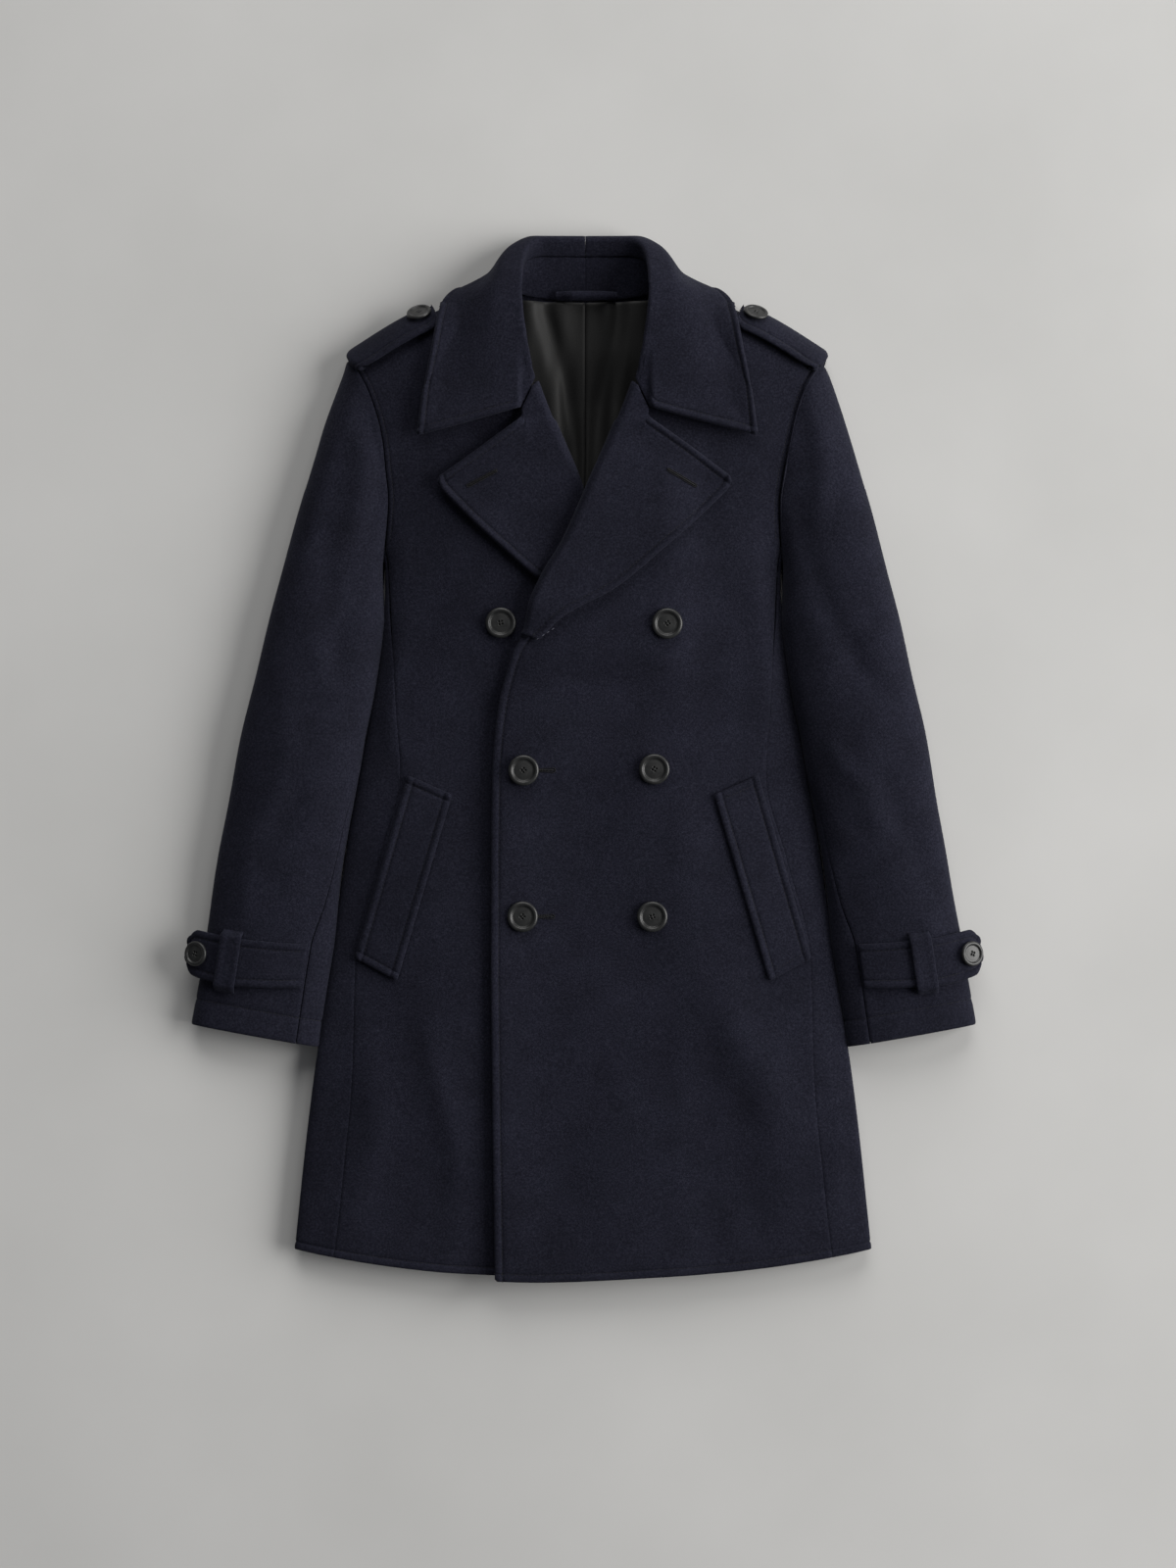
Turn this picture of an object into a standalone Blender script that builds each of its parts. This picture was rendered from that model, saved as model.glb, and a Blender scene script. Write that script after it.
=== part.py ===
"""
Double-breasted wool coat, buttoned and laid flat on its back.

Lengths are millimetres until a mesh is made: x runs across the coat, y from the hem towards the collar,
and z up from the surface that the coat lies on. Left and right are the wearer's, so the left front, which
laps over the right one, is at +x. Each piece is worked out for the left side and mirrored for the right.
A piece is a surface of two numbers u and v, which gives points on the cloth's outer side, and its wall is
thickened inwards from there.
"""
import math

import bmesh
import bpy
import numpy as np
from mathutils import Vector

for thing in list(bpy.data.objects):
    bpy.data.objects.remove(thing)

MM = 0.001

# Cloth and the room left between pieces
CLOTH = 2.6            # melton wool
DOUBLE_CLOTH = 3.4     # two turned layers: collar, lapels, straps
LINING = 1.0
SEAM_GAP = 0.3         # each side of a seam line
REST_GAP = 0.9         # between a piece and the one that it lies on
SOFT_GAP = 1.7         # the same under the lapels and the collar, which lie less closely


def table(names, *rows):
    """A table with named columns: one array for each name."""
    data = np.array(rows, float)
    return {name: data[:, i] for i, name in enumerate(names.split())}


# The laid body from hem to shoulder: half width, height of the front's middle, height of the side fold,
# the seams between front, side panel and back, and the left front's free edge, which becomes its roll line
BODY = table("y half_width loft side front_seam back_seam edge",
             (-505, 281, 28, 16, 243, 205, -84.5),
             (-400, 270.5, 30, 17, 231, 190, -86),
             (-298, 258.6, 31.5, 17, 222, 176, -87.5),
             (-191, 242.5, 33, 15, 219, 168, -88.4),
             (-100, 230.9, 34, 13, 197, 164, -88.4),
             (-15, 216.5, 35, 13, 176, 162, -87.4),
             (47, 205.4, 36, 13, 180, 160, -82),
             (120, 193.9, 38, 13, 184, 166, -61.4),
             (178, 191, 39, 13, 187, 176, -37),
             (204, 197, 40, 13, 188.5, 182, -21),
             (233, 208, 41, 13, 190, 186, -7.6),
             (265, 226, 42, 13, 190, 188, 4.8),
             (316, 255, 43, 13, 197, 190, 26.6),
             (369, 280, 43, 13, 219, 210, 48.7),
             (430, 290, 42, 13, 240, 232, 66))
DOME_POWER = 3.2       # how square the body's section is
FOLD_TURN = 9          # the side fold turns under within this width

HEM_MIDDLE = -500.5    # the hem sags towards the middle
HEM_RISE = 27.5        # and rises this much to the side fold
HEM_HALF = 279
LAP_DROP = 4.5         # the left front hangs a little lower at its edge
BACK_SHORT = 1.5       # the back's hem lies this far inside the front's

# Shoulder line, and the rounding of the shoulder over it
SHOULDER = table("x y height",
                 (84, 456, 22), (110, 446, 20), (137, 436, 17), (180, 415, 14), (228.5, 385, 10))
SHOULDER_ROUND = 36
SHOULDER_RISE = 24     # about how high that rounding climbs
SHOULDER_TURN = 8      # radius of the turn down to the back
SHOULDER_UNDER = 4     # the front runs this far under before the shoulder seam
BACK_NECK = 441.5
BACK_NECK_RISE = 4

# Armhole from the underarm to the shoulder tip, on the front and on the back
UNDERARM = 204
UNDERARM_DIP = 24      # the side panel's top sinks this much at the side fold
ARMHOLE = table("y front_x back_x",
                (178, 192.5, 192.5), (204, 190, 188), (246, 187.5, 187), (278, 191, 190), (316, 197, 198),
                (347, 206, 211), (371, 218, 225.5), (385, 228.5, 229.5))
ARMHOLE_OUT = 1.4      # the sleeve starts this far outside the body's edge
PANEL_FOLD = (0.55, 0.75)      # the side fold's share of the side panel's width

# Sleeve from the armhole to the cuff: inner edge, outer edge, height, side fold, and the front seam's place.
# Round the sleeve, a turn of 0 is the inner edge, 1 the outer edge, and from 1 to 2 it runs back underneath.
SLEEVE = table("at inner_x inner_y outer_x outer_y height side seam",
               (0.0, 193.5, 179, 232.5, 376, 40, 13, -0.26),
               (0.1, 193.6, 134, 269.5, 268, 46, 15, -0.26),
               (0.2, 199.4, 88, 292, 185, 48, 16, -0.26),
               (0.3, 206.9, 43, 309.5, 116, 48, 17, -0.22),
               (0.4, 215.2, -3, 323.7, 52, 47, 17, -0.06),
               (0.5, 223.6, -49, 336, -6, 45, 16, 0.105),
               (0.6, 231, -95, 346.5, -62, 43, 16, 0.145),
               (0.7, 237.2, -141, 355.5, -115, 41, 15, 0.2),
               (0.8, 242.8, -186, 363.5, -163, 39, 15, 0.265),
               (0.9, 249.2, -232, 371, -210, 37, 14, 0.27),
               (1.0, 255.8, -278, 379, -256, 34, 13, 0.27))
SLEEVE_BLEND = 0.45    # the armhole's shape fades out by here
SLEEVE_OUT = table("at right left",    # how much further out each sleeve's outer edge lies
                   (0, 0, 0), (0.05, 1, -3.5), (0.1, 0, -0.5), (0.2, -0.4, 4.4), (0.25, 0.3, 5), (0.3, 0.8, 3.8),
                   (0.4, 0.2, 1.8), (0.5, 0, 0.3), (0.7, -0.4, -1.6), (0.85, -1.4, 0.4), (1, -1, 0.4))
SLEEVE_BACK_SEAM = 1.27
SLEEVE_SQUARE = 0.8
SLEEVE_SEAM_GAP = 0.006

# Lapel outline: gorge and notch along the top, the point, then the long lower edge
GORGE_GAP = (1.6, 1.1)         # the lapel keeps this far off the collar, in x and y
LAPEL_LOWER = [(142, 270), (139, 261), (132, 253), (78, 202.5), (30, 163), (-11.4, 141), (-50, 113)]
LAPEL_CORNER = (60.5, 328.5)   # its corner at the notch
LAPEL_TOP_Y = 357
LAPEL_BREAK_Y = 117
ROLL_INSET = 8.5       # the front stops short of the roll, and the lapel turns down over its edge
ROLL_UNDER = math.radians(55)      # the roll ends this far under its middle
ROLL_END_RISE = 5      # and its upper end slants up to the collar
ROLL_PUFF = 5.5        # the left lapel stands this much higher at its roll
RIGHT_PUFF = (0.2, 0.42)       # and the right one loses that height between these shares of its length

# Collar, from its front end to the centre back, along six lines
COLLAR = {
    "neck": [(49, 366, 47), (62, 395, 47), (72, 425, 46), (76, 440, 40), (77, 449, 32), (72, 452, 21),
             (60, 448.5, 11.5), (36, 444.6, 8.6), (0, 442.4, 8)],
    "stand": [(49.5, 366.5, 50), (58, 392, 52), (64, 425, 52), (65, 447, 50), (64, 461, 45), (61, 473, 35),
              (55, 482, 25), (38, 485.5, 18.5), (0, 485.5, 16)],
    "roll": [(47.5, 366, 53), (53.5, 391, 57), (59.5, 425, 58), (61, 450, 56), (60.5, 466, 51), (59, 480, 42),
             (54.5, 493, 33), (39, 501, 25), (0, 501, 23)],
    "crest": [(62, 337, 51), (86, 376, 56), (86, 418, 57), (85, 448, 54), (82, 464, 48), (78, 482, 36),
              (67, 496.5, 23), (48, 504.1, 14), (0, 504.1, 12)],
    "brow": [(113, 322.5, 49), (125, 362, 51), (122, 405, 49), (115, 444, 38), (100, 461.5, 24), (90, 472.5, 7),
             (75, 489, 2), (47, 500.5, 0.6), (0, 500.5, 0.4)],
    "edge": [(163.5, 309.5, 46), (158.5, 343, 46), (149.5, 393, 40), (137, 437, 27), (121, 448, 15),
             (105, 441, 0.3), (80, 429, 0), (40, 425.5, 0), (0, 425, 0)],
}
FALL_ACROSS = {"stand": 0, "roll": 0.14, "crest": 0.36, "brow": 0.66, "edge": 1}
FALL_LIFT = 5.4        # the back lies on the fall that is folded under it
NECK_SHIFT = 2.2       # the neck lies this far off the coat's middle
SHOULDER_SHIFT = 2     # and the shoulders this much further

NOTCH_REACH = 0.12     # the collar's front end has a corner at the notch, which fades out by here
STAND_SEAM_GAP = 1.3   # the stand's wall tilts towards the fall's at their seam
FALL_SPRING = 2.5      # the fall springs up this much off the front towards the shoulder
LOOP_ENDS = (-29, 31)
LOOP_SIDES = (442.5, 451.5)
LOOP_ARCH = 7.5
LOOP_ROUND = 0.7

# Back lining seen through the neck
LINING_HALF = 86
LINING_LOW = 200
LINING_FOLDS = table("x lean height width", (22, 12, 2.6, 8), (55, 4, 1.8, 9))

# Straps and welts
WELT_TOP = [(125.7, -34.4), (169, -15.5)]
WELT_LOW = [(179, -214), (220, -192)]
EPAULETTE_WIDTH = 37
EPAULETTE_ENDS = (147, 226)    # x of its rounded end and of its fold at the armhole
EPAULETTE_MIDDLE = 0.25        # where its middle lies on the shoulder's curve
EPAULETTE_FOLD = 4.3           # radius of the fold at its outer end
EPAULETTE_OUT = 5              # the fold reaches this far out
EPAULETTE_BOW = 7              # the fold's ends curve back by this much
EPAULETTE_LIFT = (5, 1.3)      # how high it springs off the shoulder along it, and at its ends
CUFF_STRAP = table("turn low high lift",
                   (0.29, 0.883, 0.792, 0), (0.5, 0.897, 0.802, 0.2), (0.7, 0.906, 0.808, 0.8),
                   (0.82, 0.903, 0.807, 2.6), (0.92, 0.898, 0.806, 8), (0.99, 0.866, 0.826, 13.5))
KEEPER_TURNS = {"right": (0.63, 0.75), "left": (0.55, 0.66)}
KEEPER_REACH = 7       # the keeper runs this far past the strap on either side

# Buttons: a turned profile with a raised rim, a groove and a slightly domed middle, for a radius of 1
BUTTON_PROFILE = table("radius height", (0, 0.24), (0.3, 0.23), (0.52, 0.2), (0.63, 0.17), (0.7, 0.24),
                       (0.8, 0.3), (0.91, 0.29), (1, 0.2), (0.98, 0.1), (0.8, 0), (0, 0))
FRONT_BUTTONS = [(-79, 130.6), (80.8, 129.7), (-57, -11), (68.4, -10), (-58, -151.5), (66.5, -151.5)]
FRONT_BUTTON = 29.5
SMALL_BUTTON = 24
BUTTON_STEPS = 20
BUTTON_STAND = 1.2
SHOULDER_BUTTON = (0.17, 0.5)
CUFF_BUTTON = (0.87, 0.5)


# ---------------------------------------------------------------- curves

def smooth(at, known, values):
    """A smooth curve through a table's rows, which never swings past them."""
    known, values = np.asarray(known, float), np.asarray(values, float)
    at = np.clip(np.asarray(at, float), known[0], known[-1])
    if values.ndim == 1:
        values = values.reshape((-1,) + (1,) * at.ndim) + np.zeros(at.shape)
    width = np.diff(known)
    slope = np.diff(values, axis=0) / width.reshape((-1,) + (1,) * at.ndim)
    turn = np.zeros_like(values)
    turn[0], turn[-1] = slope[0], slope[-1]
    before, after = slope[:-1], slope[1:]
    total = np.where(before * after > 0, before + after, 1)
    turn[1:-1] = np.where(before * after > 0, 2 * before * after / total, 0)
    i = np.clip(np.searchsorted(known, at, side="right") - 1, 0, len(width) - 1)
    t = (at - known[i]) / width[i]

    def pick(rows, row):
        return np.take_along_axis(rows, row[None], axis=0)[0]

    return ((1 + 2 * t) * (1 - t) ** 2 * pick(values, i) + t * (1 - t) ** 2 * width[i] * pick(turn, i)
            + t * t * (3 - 2 * t) * pick(values, i + 1) + t * t * (t - 1) * width[i] * pick(turn, i + 1))


def step(value, start, end):
    """0 at start, 1 at end, with a soft change between them."""
    t = np.clip((np.asarray(value, float) - start) / (end - start), 0, 1)
    return t * t * (3 - 2 * t)


def blend(start, end, share):
    return start + (end - start) * share


def along(points, share, soft=True):
    """x and y at this share of a line through the given points."""
    points = np.array(points, float)
    spans = np.linalg.norm(np.diff(points, axis=0), axis=1)
    known = np.concatenate([[0], np.cumsum(spans)]) / spans.sum()
    read = smooth if soft else np.interp
    return read(share, known, points[:, 0]), read(share, known, points[:, 1])


def body(name, y):
    return smooth(y, BODY["y"], BODY[name])


def point(x, y, z):
    """Points as rows of x, y and z."""
    x, y, z = np.broadcast_arrays(x, y, z)
    return np.stack([x, y, z], axis=-1).astype(float)


# ---------------------------------------------------------------- the laid body

SHOULDER_RUN = np.array([SHOULDER["x"][0] - SHOULDER["x"][-1], SHOULDER["y"][0] - SHOULDER["y"][-1]])
SHOULDER_RUN /= np.linalg.norm(SHOULDER_RUN)
INWARD = np.array([-SHOULDER_RUN[1], SHOULDER_RUN[0], 0])     # across the shoulder line, towards the hem
TIP_X, TIP_Y = SHOULDER["x"][-1], SHOULDER["y"][-1]
NECK_X, NECK_Y = SHOULDER["x"][0], SHOULDER["y"][0]


def shoulder(name, x):
    return smooth(x, SHOULDER["x"], SHOULDER[name])


def hem(x):
    return HEM_MIDDLE + HEM_RISE * (np.abs(x) / HEM_HALF) ** 2.2


HEM_SIDE = hem(BODY["front_seam"][0])


def body_top(x, y):
    """Height of the body's outer side: a flat dome that turns down at the sides and over the shoulder."""
    x = np.abs(x)
    side = body("side", y)
    across = np.clip(x / body("half_width", y), 0, 1)
    dome = side + (body("loft", y) - side) * np.sqrt(1 - across ** DOME_POWER)
    depth = np.clip((shoulder("y", x) - y) * -INWARD[1] / SHOULDER_ROUND, 0, 1)
    low = np.minimum(shoulder("height", x), dome)
    return low + (dome - low) * np.sqrt(1 - (1 - depth) ** 2)


def body_floor(x, y):
    """The back lies on the floor, and near the neck on the fall of the collar."""
    return FALL_LIFT * step(y, 340, 398) * step(np.abs(x), 178, 128)


def lap(x, y):
    """How far the left front is lifted by the right front, and by the right lapel under it."""
    over_front = (CLOTH + REST_GAP) * step(x, 130, 86) * step(y, 330, 255)
    lapel_wall = DOUBLE_CLOTH + SOFT_GAP + REST_GAP
    over_lapel = lapel_wall * step(x, 118, 70) * step(y, 66, 104) * step(y, 330, 262)
    return over_front + over_lapel


def front_top(x, y, side):
    """Height of a front's outer side; side is 1 for the left front and -1 for the right one, mirrored."""
    return body_top(x, y) + (lap(x, y) if side > 0 else 0)


def front_edge(y):
    """x of the front's inner boundary: free edge, then just inside the roll, then the neckline."""
    edge = body("edge", y) + ROLL_INSET * step(y, 100, 135)
    neckline = blend(66, NECK_X, step(y, 395, 455))
    return blend(edge, neckline, step(y, 350, 392))


def outer_edge(y, side):
    """x of the front's or back's outer boundary: the panel seam up to the underarm, then the armhole."""
    seam = body(side + "_seam", y)
    armhole = smooth(y, ARMHOLE["y"], ARMHOLE[side + "_x"])
    return blend(seam, armhole, step(y, UNDERARM - 14, UNDERARM)) - SEAM_GAP


def from_hem(x, v):
    """y of the cloth between the hem at 0 and the underarm's level at 1, alike on both sides of a seam."""
    return blend(HEM_SIDE, UNDERARM, v) + (hem(x) - HEM_SIDE) * (1 - v) ** 3


def front(side):
    """A front: v climbs to the underarm's level at 1, the shoulder at 2, and the seam behind it at 3."""
    def surface(u, v):
        low, high = np.minimum(v, 1), np.clip(v - 1, 0, 1)
        level = blend(HEM_SIDE, UNDERARM, low)
        outer_y = blend(level, TIP_Y, high)
        inner_y = blend(HEM_SIDE, NECK_Y, (outer_y - HEM_SIDE) / (TIP_Y - HEM_SIDE))
        x = blend(front_edge(inner_y), outer_edge(outer_y, "front"), u)
        drop = LAP_DROP * step(x, 90, -70) if side > 0 else 0
        y = blend(inner_y, outer_y, u) + from_hem(x, low) - level - drop * (1 - low) ** 3
        y = blend(y, shoulder("y", x), high ** 4 * (1 - u ** 6 * (1 - high ** 60)))
        over = point(x, y, front_top(x, y, side))
        turn = np.clip((v - 2) / 0.7, 0, 1) * math.pi / 2
        inward = SHOULDER_TURN * (1 - np.cos(turn)) + SHOULDER_UNDER * np.clip((v - 2.7) / 0.3, 0, 1)
        under = over + inward[..., None] * INWARD
        under[..., 2] = blend(over[..., 2], body_floor(under[..., 0], under[..., 1]), np.sin(turn))
        return np.where((v > 2)[..., None], under, over)
    return surface


def back(u, v):
    """The back, seen from below: flat on the floor, and its neck on the fall folded under it."""
    across = np.abs(1 - 2 * u)
    low, high = np.minimum(v, 1), np.clip(v - 1, 0, 1)
    inset = SHOULDER_TURN + SHOULDER_UNDER + 3 * SEAM_GAP
    tip, neck = np.array([TIP_X, TIP_Y, 0]) + INWARD * inset, np.array([NECK_X, NECK_Y, 0]) + INWARD * inset
    side_y = blend(blend(HEM_SIDE, UNDERARM, low), tip[1], high)
    x = blend(outer_edge(side_y, "back"), tip[0] - 2, high ** 12) * across
    on_shoulder = shoulder("y", x - INWARD[0] * inset) + INWARD[1] * inset
    neckline = BACK_NECK + BACK_NECK_RISE * (x / neck[0]) ** 2
    top_y = np.where(x < neck[0], neckline, on_shoulder)
    y = blend(from_hem(x, low) + BACK_SHORT * (1 - low) ** 3, top_y, high)
    return point(x * np.sign(1 - 2 * u), y, body_floor(x, y))


def side_panel(u, v):
    """A side panel: u runs from the front seam over the side fold and back to the back seam."""
    fold, flat = PANEL_FOLD
    dip = UNDERARM_DIP * np.sin(np.clip(u / fold, 0, 1) * math.pi / 2) * (1 - step(u, flat, 1))
    y = blend(HEM_SIDE, UNDERARM, v) - dip * v
    half, side = body("half_width", y), body("side", y)
    start = np.minimum(outer_edge(y, "front") + 2 * SEAM_GAP + 1.8 * step(y, 80, 140), half - 0.8)
    end = np.minimum(outer_edge(y, "back") + 2 * SEAM_GAP, half - 3)
    reach = blend(np.arcsin(start / half), math.pi / 2, np.clip(u / fold, 0, 1))
    top_x = half * np.sin(reach)
    turn = np.clip((u - fold) / (flat - fold), 0, 1) * math.pi / 2
    under_x = half - np.minimum(FOLD_TURN, half - end - 1) * (1 - np.cos(turn))
    under_x = blend(under_x, end, np.clip((u - flat) / (1 - flat), 0, 1))
    x = np.where(u > fold, under_x, top_x)
    z = np.where(u > fold, side * (1 - np.sin(turn)), body_top(top_x, y))
    return point(x, from_hem(x, v) - dip * v, z)


# ---------------------------------------------------------------- sleeves

def armhole(side, share):
    """The armhole from the underarm to the shoulder tip, on the body's top or on the floor."""
    x, y = along(np.column_stack([ARMHOLE[side + "_x"], ARMHOLE["y"]]), share)
    fold = float(body("side", ARMHOLE["y"][0]))
    if side == "front":
        z = body_top(x, y)
    else:
        near_fold = 1 - np.clip(share / 0.05, 0, 1)
        near_tip = 1 - np.clip((1 - share) / 0.07, 0, 1)
        tip = SHOULDER["height"][-1]
        z = fold * (1 - np.sqrt(1 - near_fold ** 2)) + tip * (1 - np.sqrt(1 - near_tip ** 2))
    return point(x + ARMHOLE_OUT, y - SEAM_GAP, z)


def sleeve_at(side, at, turn):
    """Points on a sleeve's outer side: 'at' runs from the armhole to the cuff, 'turn' round it."""
    at, turn = np.broadcast_arrays(np.asarray(at, float), np.asarray(turn, float) % 2)
    row = {name: smooth(at, SLEEVE["at"], SLEEVE[name]) for name in SLEEVE}
    share = (1 - np.cos(turn * math.pi)) / 2
    x = blend(row["inner_x"], row["outer_x"], share)
    y = blend(row["inner_y"], row["outer_y"], share)
    fold = row["side"]
    over = fold + (row["height"] - fold) * np.abs(np.sin(turn * math.pi)) ** SLEEVE_SQUARE
    corner = fold / np.hypot(row["outer_x"] - row["inner_x"], row["outer_y"] - row["inner_y"])
    near = 1 - np.clip(np.minimum(share, 1 - share) / corner, 0, 1)
    beneath = fold * (1 - np.sqrt(1 - near ** 2))
    on_top = turn <= 1
    ring = point(x, y, np.where(on_top, over, beneath))
    start = np.where(on_top[..., None], armhole("front", share), armhole("back", share))
    place = blend(start, ring, step(at, 0, SLEEVE_BLEND)[..., None])
    place[..., 0] += smooth(at, SLEEVE_OUT["at"], SLEEVE_OUT["left" if side > 0 else "right"]) * share
    return place


def top_sleeve(side):
    """From the front seam over the sleeve to the back seam; v runs from the cuff up to the armhole."""
    def surface(u, v):
        first = smooth(1 - v, SLEEVE["at"], SLEEVE["seam"]) + SLEEVE_SEAM_GAP
        return sleeve_at(side, 1 - v, blend(first, SLEEVE_BACK_SEAM - SLEEVE_SEAM_GAP, u))
    return surface


def under_sleeve(side):
    """From the back seam under the sleeve to the front seam."""
    def surface(u, v):
        last = smooth(1 - v, SLEEVE["at"], SLEEVE["seam"]) + 2 - SLEEVE_SEAM_GAP
        return sleeve_at(side, 1 - v, blend(SLEEVE_BACK_SEAM + SLEEVE_SEAM_GAP, last, u))
    return surface


# ---------------------------------------------------------------- lapels, collar, lining

def lapel(side):
    """A lapel on its front: u is 0 at the roll and 1 at the edge; below 0 it rolls over the front's edge."""
    stations = np.linspace(0, 1, 12)
    roll_y = blend(LAPEL_TOP_Y, LAPEL_BREAK_Y, stations)
    puffs = ROLL_PUFF * (1 - stations ** 3)
    if side < 0:
        puffs = puffs * (1 - step(stations, *RIGHT_PUFF))
    radii = (CLOTH + SOFT_GAP + DOUBLE_CLOTH + puffs) / 2
    inner = np.column_stack([body("edge", roll_y) + radii, roll_y])
    gorge = collar(FALL_ACROSS)(np.linspace(FALL_ACROSS["roll"], FALL_ACROSS["crest"], 5), 0.0)[2:, :2]
    top = [tuple(inner[0])] + [tuple(place) for place in gorge - GORGE_GAP] + [LAPEL_CORNER, LAPEL_LOWER[0]]
    bottom = [tuple(inner[-1]), LAPEL_LOWER[-1]]
    corners = [top[0], top[-1], bottom[0], bottom[-1]]

    def surface(u, v):
        share = np.clip(u, 0, 1)
        tops, bottoms = along(top, share, False), along(bottom, share, False)
        inners, outers = along(inner, v), along(LAPEL_LOWER, v)
        weights = [(1 - share) * (1 - v), share * (1 - v), (1 - share) * v, share * v]
        x, y = [blend(tops[i], bottoms[i], v) + blend(inners[i], outers[i], share)
                - sum(w * c[i] for w, c in zip(weights, corners)) for i in (0, 1)]
        puff = smooth(v, stations, puffs) * (1 - share) ** 1.5
        radius = smooth(v, stations, radii)
        high = front_top(x, y, side) + DOUBLE_CLOTH + SOFT_GAP + puff
        angle = math.pi / 2 - (math.pi / 2 + ROLL_UNDER) * np.clip(-u, 0, 1)
        x = x - SEAM_GAP - radius * np.where(u < 0, np.cos(angle), 0)
        y = y - SEAM_GAP + ROLL_END_RISE * np.clip(-2 * u, 0, 1) * (1 - v) ** 12
        z = high - radius * np.where(u < 0, 1 - np.sin(angle), 0)
        return point(x, y, z)
    return surface


def guide(name, v):
    """One of the collar's lines, at a share v of the way from its front end to the centre back."""
    points = np.array(COLLAR[name], float)
    stations = np.linspace(0, 1, len(points))
    return [smooth(v, stations, points[:, i]) for i in range(3)]


def collar(lines):
    """A surface through the named collar lines, from the collar's front end to the centre back."""
    def surface(u, v):
        u, v = np.broadcast_arrays(u, v)
        guides = np.array([guide(name, v) for name in lines])
        shares = list(lines.values())
        x, y, z = [smooth(u, shares, guides[:, i]) for i in range(3)]
        corner = shares[-3]
        to_corner = (u - shares[-4]) / (corner - shares[-4])
        leaf = [np.where(u < corner, blend(guides[-4, i], guides[-3, i], to_corner),
                         smooth(u, shares[-3:], guides[-3:, i])) for i in (0, 1)]
        sharp = (u > shares[-4]) * step(v, NOTCH_REACH, 0)
        x, y = blend(x, leaf[0], sharp), blend(y, leaf[1], sharp)
        rest = front_top(x, y, 1) + DOUBLE_CLOTH + SOFT_GAP + FALL_SPRING * step(shoulder("y", x) - y, 50, 15)
        on_front = (y < shoulder("y", x) - 2) & (z > 25) & (x > 60)
        z = np.where(on_front, np.maximum(z, rest), z)
        return point(x + SEAM_GAP, y, z)
    return surface


def collar_stand(u, v):
    """The stand, from the neck seam up to the seam of the fall."""
    neck, top = [point(*guide(name, v)) for name in ("neck", "stand")]
    height = np.linalg.norm(top - neck, axis=-1)
    share = blend(SEAM_GAP / height, 1 - STAND_SEAM_GAP / height, u)
    return blend(neck, top, share[..., None])


def hanger_loop(u, v):
    """The loop at the back neck: a flattened tube, sewn down at both ends."""
    x = blend(*LOOP_ENDS, u)
    y = blend(*LOOP_SIDES, v)
    arch = LOOP_ARCH * step(u, 0.02, 0.3) * step(u, 0.98, 0.7)
    neck, top = COLLAR["neck"][-1], COLLAR["stand"][-1]
    slope = (top[2] - neck[2]) / (top[1] - neck[1])
    seam = neck[2] + slope * (y - neck[1]) + SOFT_GAP + DOUBLE_CLOTH
    return point(x, y, seam + arch + LOOP_ROUND * np.sin(v * math.pi))


def lining(u, v):
    """Half of the back lining that shows through the neck, in soft folds on the back."""
    x = blend(SEAM_GAP, LINING_HALF, u)
    y = blend(LINING_LOW, BACK_NECK - 2 * SEAM_GAP + BACK_NECK_RISE * (x / LINING_HALF) ** 2, v)
    folds = sum(height * np.exp(-((x - place - lean * (1 - v)) / width) ** 2)
                for place, lean, height, width in zip(*LINING_FOLDS.values()))
    return point(x, y, body_floor(x, y) + CLOTH + REST_GAP + LINING + folds)


# ---------------------------------------------------------------- welts, straps, keepers

def welt(side):
    def surface(u, v):
        x, y = [blend(blend(WELT_LOW[0][i], WELT_LOW[1][i], u), blend(WELT_TOP[0][i], WELT_TOP[1][i], u), v)
                for i in (0, 1)]
        return point(x, y, front_top(x, y, side) + CLOTH + REST_GAP)
    return surface


def off_shoulder(x, across, lift):
    """Points off the shoulder's rounded edge, 'across' along its curve from the strap's middle."""
    low = shoulder("height", x)
    edge = point(x, shoulder("y", x), low)
    crown = edge + INWARD * SHOULDER_ROUND
    rise = body_top(crown[..., 0], crown[..., 1]) - low
    angles = np.linspace(0, math.pi / 2, 41)
    steps = np.hypot(np.diff(SHOULDER_ROUND * np.cos(angles)), np.diff(SHOULDER_RISE * np.sin(angles)))
    arc = np.concatenate([[0], np.cumsum(steps)])
    wanted = EPAULETTE_MIDDLE * arc[-1] + across
    angle = np.interp(wanted, arc, angles)
    place = edge + INWARD * (SHOULDER_ROUND * (1 - np.cos(angle)))[..., None]
    place[..., 2] = low + rise * np.sin(angle) + np.minimum(wanted, 0)
    out = -INWARD * (rise * np.cos(angle))[..., None]
    out[..., 2] = SHOULDER_ROUND * np.sin(angle)
    return place + out / np.linalg.norm(out, axis=-1, keepdims=True) * np.asarray(lift)[..., None]


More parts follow.
